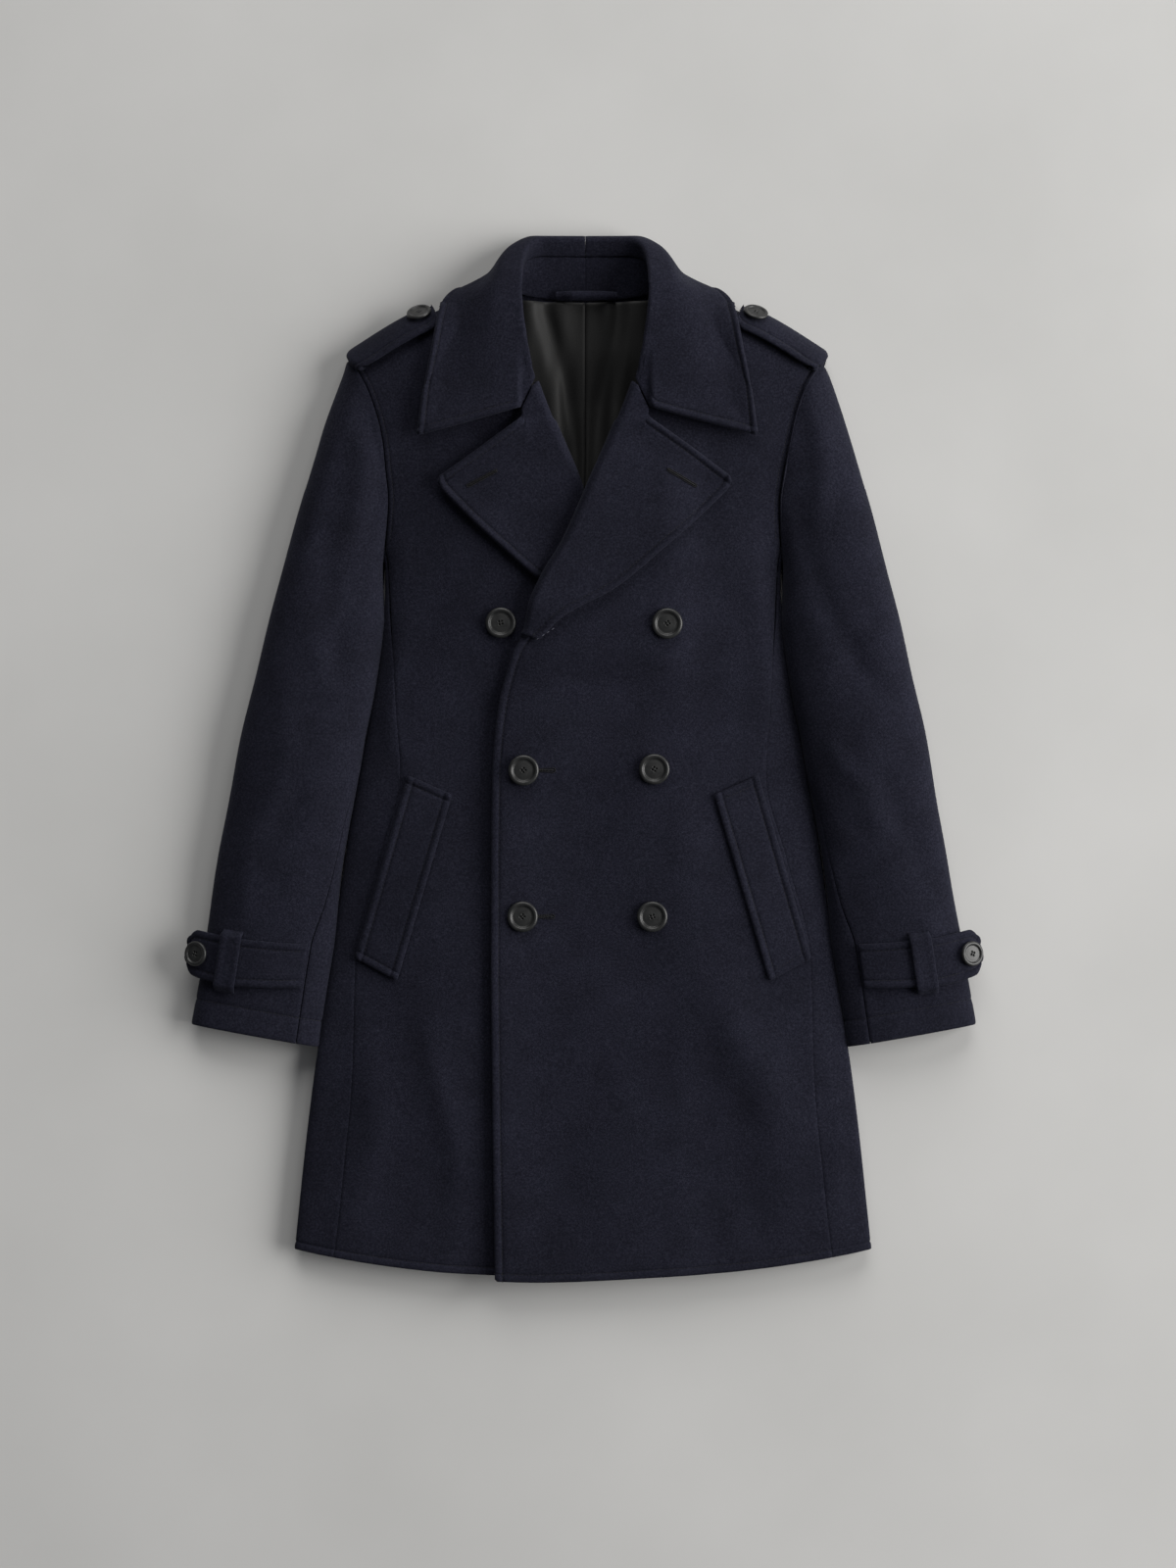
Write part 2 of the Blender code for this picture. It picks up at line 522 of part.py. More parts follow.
def epaulette(u, v):
    """A shoulder strap, from its rounded end by the collar to the armhole at 1, then folded under."""
    start, end = EPAULETTE_ENDS
    rounded = 0.45 + 0.55 * np.sqrt(1 - (1 - np.clip(u / 0.16, 0, 1)) ** 2)
    narrowing = 1 - 0.1 * step(u, 0.8, 1.2)
    across = (0.5 - v) * EPAULETTE_WIDTH * rounded * narrowing
    fold = np.clip(u - 1, 0, 1) * math.pi
    bow = EPAULETTE_BOW * np.abs(2 * v - 1) ** 2.5 * step(u, 0.5, 1)
    x = blend(start, end, np.minimum(u, 1)) + EPAULETTE_OUT * np.sin(fold) - bow
    spring = blend(EPAULETTE_LIFT[1], EPAULETTE_LIFT[0], step(u, 0, 0.3))
    flat, high = DOUBLE_CLOTH + REST_GAP + spring, REST_GAP + 2 * EPAULETTE_FOLD
    lift = blend(flat, high, step(u, 0.5, 1)) - EPAULETTE_FOLD * (1 - np.cos(fold))
    return off_shoulder(x, across, lift)


def outward(surface, u, v):
    """Unit normals of a surface, from points close by."""
    small = 0.008
    across = surface(u + small, v) - surface(u - small, v)
    out = np.cross(across, surface(u, v + small) - surface(u, v - small))
    return out / np.linalg.norm(out, axis=-1, keepdims=True)


def off_sleeve(side, at, turn, lift):
    """Points moved out from the sleeve along its normals."""
    out = outward(lambda round_it, up: sleeve_at(side, -up, round_it), turn, -at)
    return sleeve_at(side, at, turn) + out * np.asarray(lift)[..., None]


def strap_row(name, turn):
    return smooth(turn, CUFF_STRAP["turn"], CUFF_STRAP[name])


def cuff_strap(side):
    """The strap round the cuff, sewn in the sleeve's front seam, with a pointed free end."""
    def surface(u, v):
        turn = blend(CUFF_STRAP["turn"][0], CUFF_STRAP["turn"][-1], u)
        at = blend(strap_row("low", turn), strap_row("high", turn), v)
        return off_sleeve(side, at, turn, DOUBLE_CLOTH + REST_GAP + strap_row("lift", turn))
    return surface


def strap_keeper(side):
    """A keeper: down on the sleeve at both ends, and over the strap between them."""
    def surface(u, v):
        turn = blend(*KEEPER_TURNS["left" if side > 0 else "right"], u)
        low, high = strap_row("low", turn), strap_row("high", turn)
        width = np.linalg.norm(sleeve_at(side, low, turn) - sleeve_at(side, high, turn), axis=-1)
        reach = KEEPER_REACH * (low - high) / width
        over = step(v, 0, 0.1) * step(v, 1, 0.9) * (DOUBLE_CLOTH + REST_GAP + strap_row("lift", turn) + 0.5)
        return off_sleeve(side, blend(low + reach, high - reach, v), turn, CLOTH + REST_GAP + over)
    return surface


# ---------------------------------------------------------------- making solids

coat = bpy.data.collections.new("wool_coat")
bpy.context.scene.collection.children.link(coat)


def finish(name, colour, roughness):
    """A plain material of one colour."""
    material = bpy.data.materials.new(name)
    material.use_nodes = True
    shader = material.node_tree.nodes["Principled BSDF"]
    shader.inputs["Base Color"].default_value = (*colour, 1)
    shader.inputs["Roughness"].default_value = roughness
    shader.inputs["Metallic"].default_value = 0
    return material


WOOL = finish("navy_melton", (0.016, 0.016, 0.026), 0.9)
SATIN = finish("charcoal_satin", (0.024, 0.024, 0.023), 0.45)
HORN = finish("charcoal_horn", (0.042, 0.043, 0.042), 0.35)


def off_middle(x, y):
    """How far the neck and the shoulders lie off the coat's middle; the sleeves below them don't."""
    across = np.abs(x)
    shift = NECK_SHIFT * step(y, 200, 300) + SHOULDER_SHIFT * step(across, 80, 150) * step(y, 270, 320)
    return shift * (1 - step(across, 180, 240) * step(y, 400, 310))


def sheet(name, surface, us, vs, thickness=CLOTH, material=WOOL, mirrored=False):
    """Make a sewn piece: a grid moved onto the surface, its wall thickened towards the inner side."""
    u, v = np.meshgrid(us, vs)
    points = surface(u, v)
    if mirrored:
        points = points[:, ::-1] * (-1, 1, 1)
    points[..., 0] += off_middle(points[..., 0], points[..., 1])
    bm = bmesh.new()
    bmesh.ops.create_grid(bm, x_segments=len(us) - 1, y_segments=len(vs) - 1, size=1)
    for vert, place in zip(bm.verts, points.reshape(-1, 3) * MM):
        vert.co = place
    mesh = bpy.data.meshes.new(name)
    bm.to_mesh(mesh)
    bm.free()
    mesh.materials.append(material)
    mesh.shade_smooth()
    mesh.set_sharp_from_angle(angle=math.radians(40))
    piece = bpy.data.objects.new(name, mesh)
    coat.objects.link(piece)
    wall = piece.modifiers.new("Wall", "SOLIDIFY")
    wall.thickness = thickness * MM
    wall.offset = -1


def both_sides(name, surface, us, vs, thickness=CLOTH, material=WOOL):
    sheet(name + "_left", surface, us, vs, thickness, material)
    sheet(name + "_right", surface, us, vs, thickness, material, mirrored=True)


def even(count, start=0, end=1):
    return np.linspace(start, end, count)


# ---------------------------------------------------------------- the coat, piece by piece

SEAM_ROWS = even(12)                 # from the hem to the underarm, alike on both sides of a seam
CHEST_ROWS = np.array([1.2, 1.4, 1.55, 1.68, 1.79, 1.88, 1.95, 2])
SHOULDER_ROWS = np.array([2.25, 2.5, 2.7, 3])
SLEEVE_ROWS = even(14)
COLLAR_ROWS = even(17)

for side, name in ((1, "left"), (-1, "right")):
    sheet("front_" + name, front(side), even(11), np.concatenate([SEAM_ROWS, CHEST_ROWS, SHOULDER_ROWS]),
          mirrored=side < 0)
    sheet("lapel_" + name, lapel(side), np.concatenate([even(4, -1, -0.25), [0, 0.12, 0.25, 0.45, 0.7, 1]]), even(12, 1, 0),
          DOUBLE_CLOTH, mirrored=side < 0)
    sheet("pocket_welt_" + name, welt(side), even(3), even(6), mirrored=side < 0)
sheet("back", back, even(11), np.concatenate([SEAM_ROWS, [1.3, 1.6, 1.8, 2]]))
both_sides("side", side_panel, np.concatenate([even(5, 0, PANEL_FOLD[0]), even(3, 0.61, PANEL_FOLD[1]), [1]]),
           SEAM_ROWS)

for side, name in ((1, "left"), (-1, "right")):
    sheet("top_sleeve_" + name, top_sleeve(side), np.concatenate([[0, 0.02], even(9, 0.08, 0.95), [1]]),
          SLEEVE_ROWS, mirrored=side < 0)
    sheet("under_sleeve_" + name, under_sleeve(side),
          np.concatenate([[0], even(5, 0.1, 0.85), [0.92, 0.97, 1]]), SLEEVE_ROWS, mirrored=side < 0)
    sheet("cuff_strap_" + name, cuff_strap(side), even(10), even(3), DOUBLE_CLOTH, mirrored=side < 0)
    sheet("strap_keeper_" + name, strap_keeper(side), even(3), np.array([0, 0.04, 0.1, 0.5, 0.9, 0.96, 1]),
          CLOTH * 0.8, mirrored=side < 0)

both_sides("collar_fall", collar(FALL_ACROSS), np.array([0, 0.07, 0.14, 0.25, 0.36, 0.5, 0.66, 0.83, 1]),
           COLLAR_ROWS, DOUBLE_CLOTH)
both_sides("collar_stand", collar_stand, even(3), COLLAR_ROWS, DOUBLE_CLOTH)
sheet("hanger_loop", hanger_loop, even(11), even(3), DOUBLE_CLOTH)
both_sides("lining", lining, even(7), even(5), LINING, SATIN)

both_sides("epaulette", epaulette,
           np.concatenate([[0, 0.03, 0.08, 0.16], even(5, 0.3, 1), even(4, 1.25, 2)]), even(5), DOUBLE_CLOTH)


def button(name, diameter, place, normal):
    """A turned button, standing a little off the cloth on its thread."""
    radius, height = BUTTON_PROFILE["radius"], BUTTON_PROFILE["height"]
    profile = point(radius, 0, height)
    mesh = bpy.data.meshes.new(name)
    count = len(profile)
    places = [tuple(place) for place in profile * diameter / 2 * MM]
    mesh.from_pydata(places, [(i, i + 1) for i in range(count - 1)], [])
    mesh.materials.append(HORN)
    piece = bpy.data.objects.new(name, mesh)
    coat.objects.link(piece)
    turned = piece.modifiers.new("Turned", "SCREW")
    turned.steps = turned.render_steps = BUTTON_STEPS
    turned.use_merge_vertices = True
    turned.merge_threshold = 0.0001
    normal = Vector(normal)
    piece.location = Vector(place) * MM + normal * BUTTON_STAND * MM
    piece.rotation_euler = normal.to_track_quat("Z", "Y").to_euler()


def flat_button(name, x, y, side):
    """A front button, which lies level on the front at x and y."""
    button(name, FRONT_BUTTON, (x, y, front_top(x, y, side)), (0, 0, 1))


for row, (right_place, left_place) in enumerate(zip(FRONT_BUTTONS[::2], FRONT_BUTTONS[1::2])):
    flat_button(f"front_button_right_{row + 1}", *right_place, -1 if row == 0 else 1)
    flat_button(f"front_button_left_{row + 1}", *left_place, 1)
for side, hand in (("left", 1), ("right", -1)):
    for name, surface, spot in (("shoulder_button", epaulette, SHOULDER_BUTTON),
                                ("cuff_button", cuff_strap(hand), CUFF_BUTTON)):
        place, normal = surface(*spot), outward(surface, *spot)
        place = place * (hand, 1, 1) + (off_middle(place[0], place[1]), 0, 0)
        button(f"{name}_{side}", SMALL_BUTTON, place, normal * (hand, 1, 1))
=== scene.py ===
"""
Double-breasted navy wool coat, buttoned and laid on its back on pale plaster.

Shapes are worked out in millimetres, with x across the coat, y from the hem to the collar and z up. Each
piece of cloth is a surface of two numbers, u and v, on its outer side. It is worked out for the wearer's
left and mirrored for the right.
"""
import math

import bpy
import numpy as np
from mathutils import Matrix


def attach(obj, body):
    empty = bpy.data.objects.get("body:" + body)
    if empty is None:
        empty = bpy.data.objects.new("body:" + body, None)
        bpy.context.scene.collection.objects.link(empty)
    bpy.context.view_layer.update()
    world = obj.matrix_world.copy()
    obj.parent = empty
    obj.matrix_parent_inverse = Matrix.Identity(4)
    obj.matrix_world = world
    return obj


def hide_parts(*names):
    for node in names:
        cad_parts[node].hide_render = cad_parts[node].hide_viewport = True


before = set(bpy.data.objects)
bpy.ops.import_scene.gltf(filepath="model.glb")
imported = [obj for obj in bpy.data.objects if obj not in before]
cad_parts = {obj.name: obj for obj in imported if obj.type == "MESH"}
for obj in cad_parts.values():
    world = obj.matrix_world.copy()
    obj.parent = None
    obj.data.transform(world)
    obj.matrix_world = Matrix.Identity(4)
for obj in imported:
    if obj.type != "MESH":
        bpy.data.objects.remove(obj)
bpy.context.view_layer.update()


# ------------------------------------------------------------ fronts
# Two fronts of thick melton, a felted wool. The left one laps over the right. Their free edges are turned
# and topstitched, and the shoulder and side seams are pressed flat.

MM = 0.001
CLOTH = 2.6            # melton wool
DOUBLE_CLOTH = 3.4     # two turned layers: collar, lapels, straps
SEAM_GAP = 0.3         # each side of a seam line
REST_GAP = 0.9         # between a piece and the one that it lies on
SOFT_GAP = 1.7         # the same under the lapels and the collar, which lie less closely
ROLL_INSET = 8.5       # the front stops short of the roll, and the lapel turns down over its edge
FALL_LIFT = 5.4        # the back lies on the fall that is folded under it
SIDES = (("left", 1), ("right", -1))       # the wearer's left, and the right as its mirror image


def table(names, *rows):
    """A table with named columns: one array for each name."""
    data = np.array(rows, float)
    return {name: data[:, i] for i, name in enumerate(names.split())}


# The laid body from hem to shoulder: half width, height of the front's middle, height of the side fold,
# the seams between front, side panel and back, and the left front's free edge, which becomes its roll line
BODY = table("y half_width loft side front_seam back_seam edge",
             (-505, 281, 28, 16, 243, 205, -84.5),
             (-400, 270.5, 30, 17, 231, 190, -86),
             (-298, 258.6, 31.5, 17, 222, 176, -87.5),
             (-191, 242.5, 33, 15, 219, 168, -88.4),
             (-100, 230.9, 34, 13, 197, 164, -88.4),
             (-15, 216.5, 35, 13, 176, 162, -87.4),
             (47, 205.4, 36, 13, 180, 160, -82),
             (120, 193.9, 38, 13, 184, 166, -61.4),
             (178, 191, 39, 13, 187, 176, -37),
             (204, 197, 40, 13, 188.5, 182, -21),
             (233, 208, 41, 13, 190, 186, -7.6),
             (265, 226, 42, 13, 190, 188, 4.8),
             (316, 255, 43, 13, 197, 190, 26.6),
             (369, 280, 43, 13, 219, 210, 48.7),
             (430, 290, 42, 13, 240, 232, 66))
DOME_POWER = 3.2       # how square the body's section is
HEM_MIDDLE = -500.5    # the hem sags towards the middle
HEM_RISE = 27.5        # and rises this much to the side fold
HEM_HALF = 279
LAP_DROP = 4.5         # the left front hangs a little lower at its edge
# Shoulder line, and the rounding of the shoulder over it
SHOULDER = table("x y height",
                 (84, 456, 22), (110, 446, 20), (137, 436, 17), (180, 415, 14), (228.5, 385, 10))
SHOULDER_ROUND = 36
SHOULDER_TURN = 8      # radius of the turn down to the back
SHOULDER_UNDER = 4     # the front runs this far under before the shoulder seam
NECK_SHIFT = 2.2       # the neck lies this far off the coat's middle
SHOULDER_SHIFT = 2     # and the shoulders this much further
# Armhole from the underarm to the shoulder tip, on the front and on the back
UNDERARM = 204
ARMHOLE = table("y front_x back_x",
                (178, 192.5, 192.5), (204, 190, 188), (246, 187.5, 187), (278, 191, 190), (316, 197, 198),
                (347, 206, 211), (371, 218, 225.5), (385, 228.5, 229.5))


def smooth(at, known, values):
    """A smooth curve through a table's rows, which never swings past them."""
    known, values = np.asarray(known, float), np.asarray(values, float)
    at = np.clip(np.asarray(at, float), known[0], known[-1])
    if values.ndim == 1:
        values = values.reshape((-1,) + (1,) * at.ndim) + np.zeros(at.shape)
    width = np.diff(known)
    slope = np.diff(values, axis=0) / width.reshape((-1,) + (1,) * at.ndim)
    turn = np.zeros_like(values)
    turn[0], turn[-1] = slope[0], slope[-1]
    before, after = slope[:-1], slope[1:]
    total = np.where(before * after > 0, before + after, 1)
    turn[1:-1] = np.where(before * after > 0, 2 * before * after / total, 0)
    i = np.clip(np.searchsorted(known, at, side="right") - 1, 0, len(width) - 1)
    t = (at - known[i]) / width[i]

    def pick(rows, row):
        return np.take_along_axis(rows, row[None], axis=0)[0]

    return ((1 + 2 * t) * (1 - t) ** 2 * pick(values, i) + t * (1 - t) ** 2 * width[i] * pick(turn, i)
            + t * t * (3 - 2 * t) * pick(values, i + 1) + t * t * (t - 1) * width[i] * pick(turn, i + 1))


def step(value, start, end):
    """0 at start, 1 at end, with a soft change between them."""
    t = np.clip((np.asarray(value, float) - start) / (end - start), 0, 1)
    return t * t * (3 - 2 * t)


def blend(start, end, share):
    return start + (end - start) * share


def read(rows, name, at):
    """A smooth curve through one column of a table, over its first column."""
    return smooth(at, next(iter(rows.values())), rows[name])


def body(name, y):
    return read(BODY, name, y)


def point(x, y, z):
    """Points as rows of x, y and z."""
    x, y, z = np.broadcast_arrays(x, y, z)
    return np.stack([x, y, z], axis=-1).astype(float)


SHOULDER_RUN = np.array([SHOULDER["x"][0] - SHOULDER["x"][-1], SHOULDER["y"][0] - SHOULDER["y"][-1]])
SHOULDER_RUN /= np.linalg.norm(SHOULDER_RUN)
INWARD = np.array([-SHOULDER_RUN[1], SHOULDER_RUN[0], 0])     # across the shoulder line, towards the hem
TIP_X, TIP_Y = SHOULDER["x"][-1], SHOULDER["y"][-1]
NECK_X, NECK_Y = SHOULDER["x"][0], SHOULDER["y"][0]


def shoulder(name, x):
    return read(SHOULDER, name, x)


def hem(x):
    return HEM_MIDDLE + HEM_RISE * (np.abs(x) / HEM_HALF) ** 2.2


HEM_SIDE = hem(BODY["front_seam"][0])

# Creases of the laid body: their ends, how wide they are and how high, below 0 for a trough
CREASES = table("x1 y1 x2 y2 width height",
                (-64, 70, -90, -500, 44, 6.5),
                (120, -165, 193, -400, 26, 4.2),
                (178, 200, 174, 0, 22, 4.5),
                (132, 110, 150, -470, 55, 3.6),
                (48, 30, 46, -150, 30, 2.2),
                (-137, -215, -134, -500, 15, 2.6),
                (-184, 150, -182, 0, 13, 2.4),
                (-112, 40, -120, -180, 24, -1.8),
                (235, -235, 250, -470, 16, 2.0),
                (-205, -240, -222, -480, 18, 2.2),
                (10, -230, 52, -480, 36, 2.0),
                (112, 120, 96, -60, 24, -1.6),
                (150, -280, 172, -490, 18, -1.6),
                (-160, 210, -120, 120, 22, -1.8),
                (80, -60, 128, -110, 20, 1.4))
WAVES = table("along_x along_y phase height", (0.021, 0.013, 0.4, 0.5), (-0.017, 0.031, 2.1, 0.45),
              (0.043, -0.019, 4.0, 0.22), (0.012, 0.052, 1.3, 0.25))


def fold_line(x, y, row):
    """Height of one crease at these places: soft across it, and uneven along it."""
    run = np.array([row["x2"] - row["x1"], row["y2"] - row["y1"]])
    length = np.hypot(*run)
    run = run / length
    far = (x - row["x1"]) * run[0] + (y - row["y1"]) * run[1]
    off = (x - row["x1"]) * -run[1] + (y - row["y1"]) * run[0]
    off = off + 0.05 * length * np.sin(far / length * 5 + row["x1"])
    fade = step(far, -0.15 * length, 0.3 * length) * step(far, 1.15 * length, 0.7 * length)
    uneven = 1 + 0.3 * np.sin(far / 37 + row["y1"])
    return row["height"] * np.exp(-(off / row["width"]) ** 2) * fade * uneven


def creases(x, y, rows):
    return sum(fold_line(x, y, dict(zip(rows, row))) for row in zip(*rows.values()))


def waves(x, y):
    return sum(height * np.sin(x * ax + y * ay + phase) for ax, ay, phase, height in zip(*WAVES.values()))


def relief(x, y):
    """Creases and slight waves of the body's upper side, at its real x; they fade out at its side folds."""
    inside = step(np.abs(x) / body("half_width", y), 1, 0.86)
    by_armhole = step(np.abs(x), 184, 160)
    inside = blend(inside, by_armhole, step(y, UNDERARM - 50, UNDERARM))
    return (creases(x, y, CREASES) + waves(x, y)) * inside * step(y, 400, 300)


def body_top(x, y, side=1):
    """Height of the body's outer side: a flat dome that turns down at the sides and over the shoulder."""
    folds = relief(x * side, y)
    x = np.abs(x)
    low_side = body("side", y)
    across = np.clip(x / body("half_width", y), 0, 1)
    dome = low_side + (body("loft", y) - low_side) * np.sqrt(1 - across ** DOME_POWER) + folds
    depth = np.clip((shoulder("y", x) - y) * -INWARD[1] / SHOULDER_ROUND, 0, 1)
    low = np.minimum(shoulder("height", x), dome)
    return low + (dome - low) * np.sqrt(1 - (1 - depth) ** 2)


def body_floor(x, y):
    """The back lies on the floor, and near the neck on the fall of the collar."""
    return FALL_LIFT * step(y, 340, 398) * step(np.abs(x), 178, 128)


def lap(x, y):
    """How far the left front is lifted by the right front, and by the right lapel under it."""
    over_front = (CLOTH + REST_GAP) * step(x, 130, 86) * step(y, 330, 255)
    lapel_wall = DOUBLE_CLOTH + SOFT_GAP + REST_GAP
    over_lapel = lapel_wall * step(x, 118, 70) * step(y, 66, 104) * step(y, 330, 262)
    return over_front + over_lapel


def front_top(x, y, side):
    """Height of a front's outer side; side is 1 for the left front and -1 for the right one, mirrored."""
    return body_top(x, y, side) + (lap(x, y) if side > 0 else 0)


def front_edge(y):
    """x of the front's inner boundary: free edge, then just inside the roll, then the neckline."""
    edge = body("edge", y) + ROLL_INSET * step(y, 100, 135)
    neckline = blend(66, NECK_X, step(y, 395, 455))
    return blend(edge, neckline, step(y, 350, 392))


def outer_edge(y, side):
    """x of the front's or back's outer boundary: the panel seam up to the underarm, then the armhole."""
    seam = body(side + "_seam", y)
    return blend(seam, read(ARMHOLE, side + "_x", y), step(y, UNDERARM - 14, UNDERARM)) - SEAM_GAP


def from_hem(x, v):
    """y of the cloth between the hem at 0 and the underarm's level at 1, alike on both sides of a seam."""
    return blend(HEM_SIDE, UNDERARM, v) + (hem(x) - HEM_SIDE) * (1 - v) ** 3


def front(side):
    """A front: v climbs to the underarm's level at 1, the shoulder at 2, and the seam behind it at 3."""
    def surface(u, v):
        low, high = np.minimum(v, 1), np.clip(v - 1, 0, 1)
        level = blend(HEM_SIDE, UNDERARM, low)
        outer_y = blend(level, TIP_Y, high)
        inner_y = blend(HEM_SIDE, NECK_Y, (outer_y - HEM_SIDE) / (TIP_Y - HEM_SIDE))
        x = blend(front_edge(inner_y), outer_edge(outer_y, "front"), u)
        drop = LAP_DROP * step(x, 90, -70) if side > 0 else 0
        y = blend(inner_y, outer_y, u) + from_hem(x, low) - level - drop * (1 - low) ** 3
        y = blend(y, shoulder("y", x), high ** 4 * (1 - u ** 6 * (1 - high ** 60)))
        over = point(x, y, front_top(x, y, side))
        turn = np.clip((v - 2) / 0.7, 0, 1) * math.pi / 2
        inward = SHOULDER_TURN * (1 - np.cos(turn)) + SHOULDER_UNDER * np.clip((v - 2.7) / 0.3, 0, 1)
        under = over + inward[..., None] * INWARD
        under[..., 2] = blend(over[..., 2], body_floor(under[..., 0], under[..., 1]), np.sin(turn))
        return np.where((v > 2)[..., None], under, over)
    return surface


# How the cloth is finished along an edge: where its rows of points lie, in millimetres from the edge
EDGES = {"turned": (0, 0.3, 0.8, 1.5, 2.5, 4, 5.5, 6.7, 7.5, 8.3, 10),
         "bagged": (0, 0.3, 0.8, 1.5, 2.5, 4.5),
         "hemmed": (0, 0.3, 0.8, 1.5, 2.5, 4.5, 12, 19, 24.2, 25, 25.8, 28),
         "armhole": (0, 0.4, 1, 2, 3.3, 4, 4.7, 6),
         "sewn": (0, 0.4, 1, 2, 3.3),
         "raw": (0, 2)}
TURNED = {"turned", "bagged", "hemmed"}     # the edges with a rounded rim
STITCH = {"turned": 7.5, "hemmed": 25, "armhole": 4}    # how far inside its edge the topstitching runs
SAMPLES = 180          # steps along and across in which a surface is measured
PRESSED = 0.5          # cloth pressed on the floor is at least this thick
ARMHOLE_CLOSE, GORGE_CLOSE = 0.6, 0.75      # a piece is drawn this much closer to the one it is sewn to


def running(points, axis):
    """Distance along a grid's rows or columns of points, from 0 at their start."""
    steps = np.linalg.norm(np.diff(points, axis=axis), axis=-1)
    start = np.zeros_like(np.take(steps, [0], axis))
    return np.concatenate([start, np.cumsum(steps, axis)], axis)


def places(lengths, near, far, pitch):
    """Distances along strips of these lengths: as given near both ends, and even between them."""
    near, far = np.array(near, float), np.array(far, float)
    count = max(2, round(lengths.max() / pitch))
    fit = np.minimum(1, lengths / (near[-1] + far[-1]) / 1.15)[:, None]
    first, last = near * fit, lengths[:, None] - far[::-1] * fit
    middle = blend(first[:, -1:], last[:, :1], np.linspace(0, 1, count + 1)[1:-1])
    return np.concatenate([first, middle, last], axis=1)


def lay(surface, edges, pitch, us, vs, corner):
    """A grid of points that is even along the cloth, and each point's distance from the four edges."""
    shares = np.linspace(0, 1, SAMPLES + 1)
    u, v = np.meshgrid(blend(*us, shares), blend(*vs, shares))
    fine = surface(u, v)
    across, up = running(fine, 1), running(fine, 0)
    left, right, low, high = [EDGES[edge] for edge in edges]
    columns = np.stack([np.interp(far, row, shares)
                        for far, row in zip(places(across[:, -1], left, right, pitch), across)])
    rows = np.stack([np.interp(far, column, shares)
                     for far, column in zip(places(up[-1], low, high, pitch), up.T)])
    v = np.full((rows.shape[1], columns.shape[1]), 0.5)
    for _ in range(5):
        u = np.stack([np.interp(v[:, i], shares, columns[:, i]) for i in range(columns.shape[1])], axis=1)
        v = np.stack([np.interp(u[j], shares, rows[:, j]) for j in range(rows.shape[1])], axis=0)

    def at_points(grid):
        i, j = [np.clip((share * SAMPLES).astype(int), 0, SAMPLES - 1) for share in (u, v)]
        s, t = u * SAMPLES - i, v * SAMPLES - j
        return blend(blend(grid[j, i], grid[j, i + 1], s), blend(grid[j + 1, i], grid[j + 1, i + 1], s), t)

    far_u, far_v = at_points(across), at_points(up)
    widths, heights = np.interp(v, shares, across[:, -1]), np.interp(u, shares, up[-1])
    fars = [far_u, widths - far_u, far_v, heights - far_v]
    for i, j in ((0, 2), (0, 3), (1, 2), (1, 3)):
        if {edges[i], edges[j]} <= TURNED:
            a, b = np.maximum(corner - fars[i], 0), np.maximum(corner - fars[j], 0)
            pull = 1 - np.maximum(a, b) / np.maximum(np.hypot(a, b), 1e-9)
            u = u + a * pull / widths * (1 if i == 0 else -1)
            v = v + b * pull / heights * (1 if j == 2 else -1)
    return surface(blend(*us, u), blend(*vs, v)), fars


def normals(points):
    """Unit normals of a grid of points."""
    out = np.cross(np.gradient(points, axis=1), np.gradient(points, axis=0))
    return out / np.maximum(np.linalg.norm(out, axis=-1, keepdims=True), 1e-9)


def off_middle(x, y):
    """How far the neck and the shoulders lie off the coat's middle; the sleeves below them don't."""
    across = np.abs(x)
    shift = NECK_SHIFT * step(y, 200, 300) + SHOULDER_SHIFT * step(across, 80, 150) * step(y, 270, 320)
    return shift * (1 - step(across, 180, 240) * step(y, 400, 310))


def place(points, side):
    """From the working side to the real one, in metres."""
    points = points * (side, 1, 1)
    points[..., 0] += off_middle(points[..., 0], points[..., 1])
    return points * MM


def put(name, data):
    """A new object in the scene."""
    thing = bpy.data.objects.new(name, data)
    bpy.context.scene.collection.objects.link(thing)
    return thing


def solid(name, vertices, faces, material, measure=None):
    """A new smooth mesh, with a UV map if its faces' corners are measured."""
    mesh = bpy.data.meshes.new(name)
    mesh.from_pydata(vertices.tolist(), [], faces)
    if measure is not None:
        layer = mesh.uv_layers.new(name="cloth")
        layer.data.foreach_set("uv", measure.ravel())
    mesh.materials.append(material)
    mesh.shade_smooth()
    return put(name, mesh)


def shell(name, outer, inner, side, material):
    """A closed piece of cloth between two grids of points, with its own measure as UV map."""
    rows, columns = outer.shape[:2]
    count = rows * columns
    index = np.arange(count).reshape(rows, columns)
    quads = np.stack([index[:-1, :-1], index[:-1, 1:], index[1:, 1:], index[1:, :-1]], -1).reshape(-1, 4)
    ring = np.concatenate([index[0, :-1], index[:-1, -1], index[-1, :0:-1], index[:0:-1, 0]])
    after = np.roll(ring, -1)
    rim = np.stack([after, ring, ring + count, after + count], -1)
    faces = np.concatenate([quads, quads[:, ::-1] + count, rim])
    if side < 0:
        faces = faces[:, ::-1]
    vertices = place(np.concatenate([outer.reshape(-1, 3), inner.reshape(-1, 3)]), side)
    measure = np.stack([running(outer, 1), running(outer, 0)], -1).reshape(-1, 2) * MM
    return solid(name, vertices, faces.tolist(), material, np.concatenate([measure] * 2)[faces])


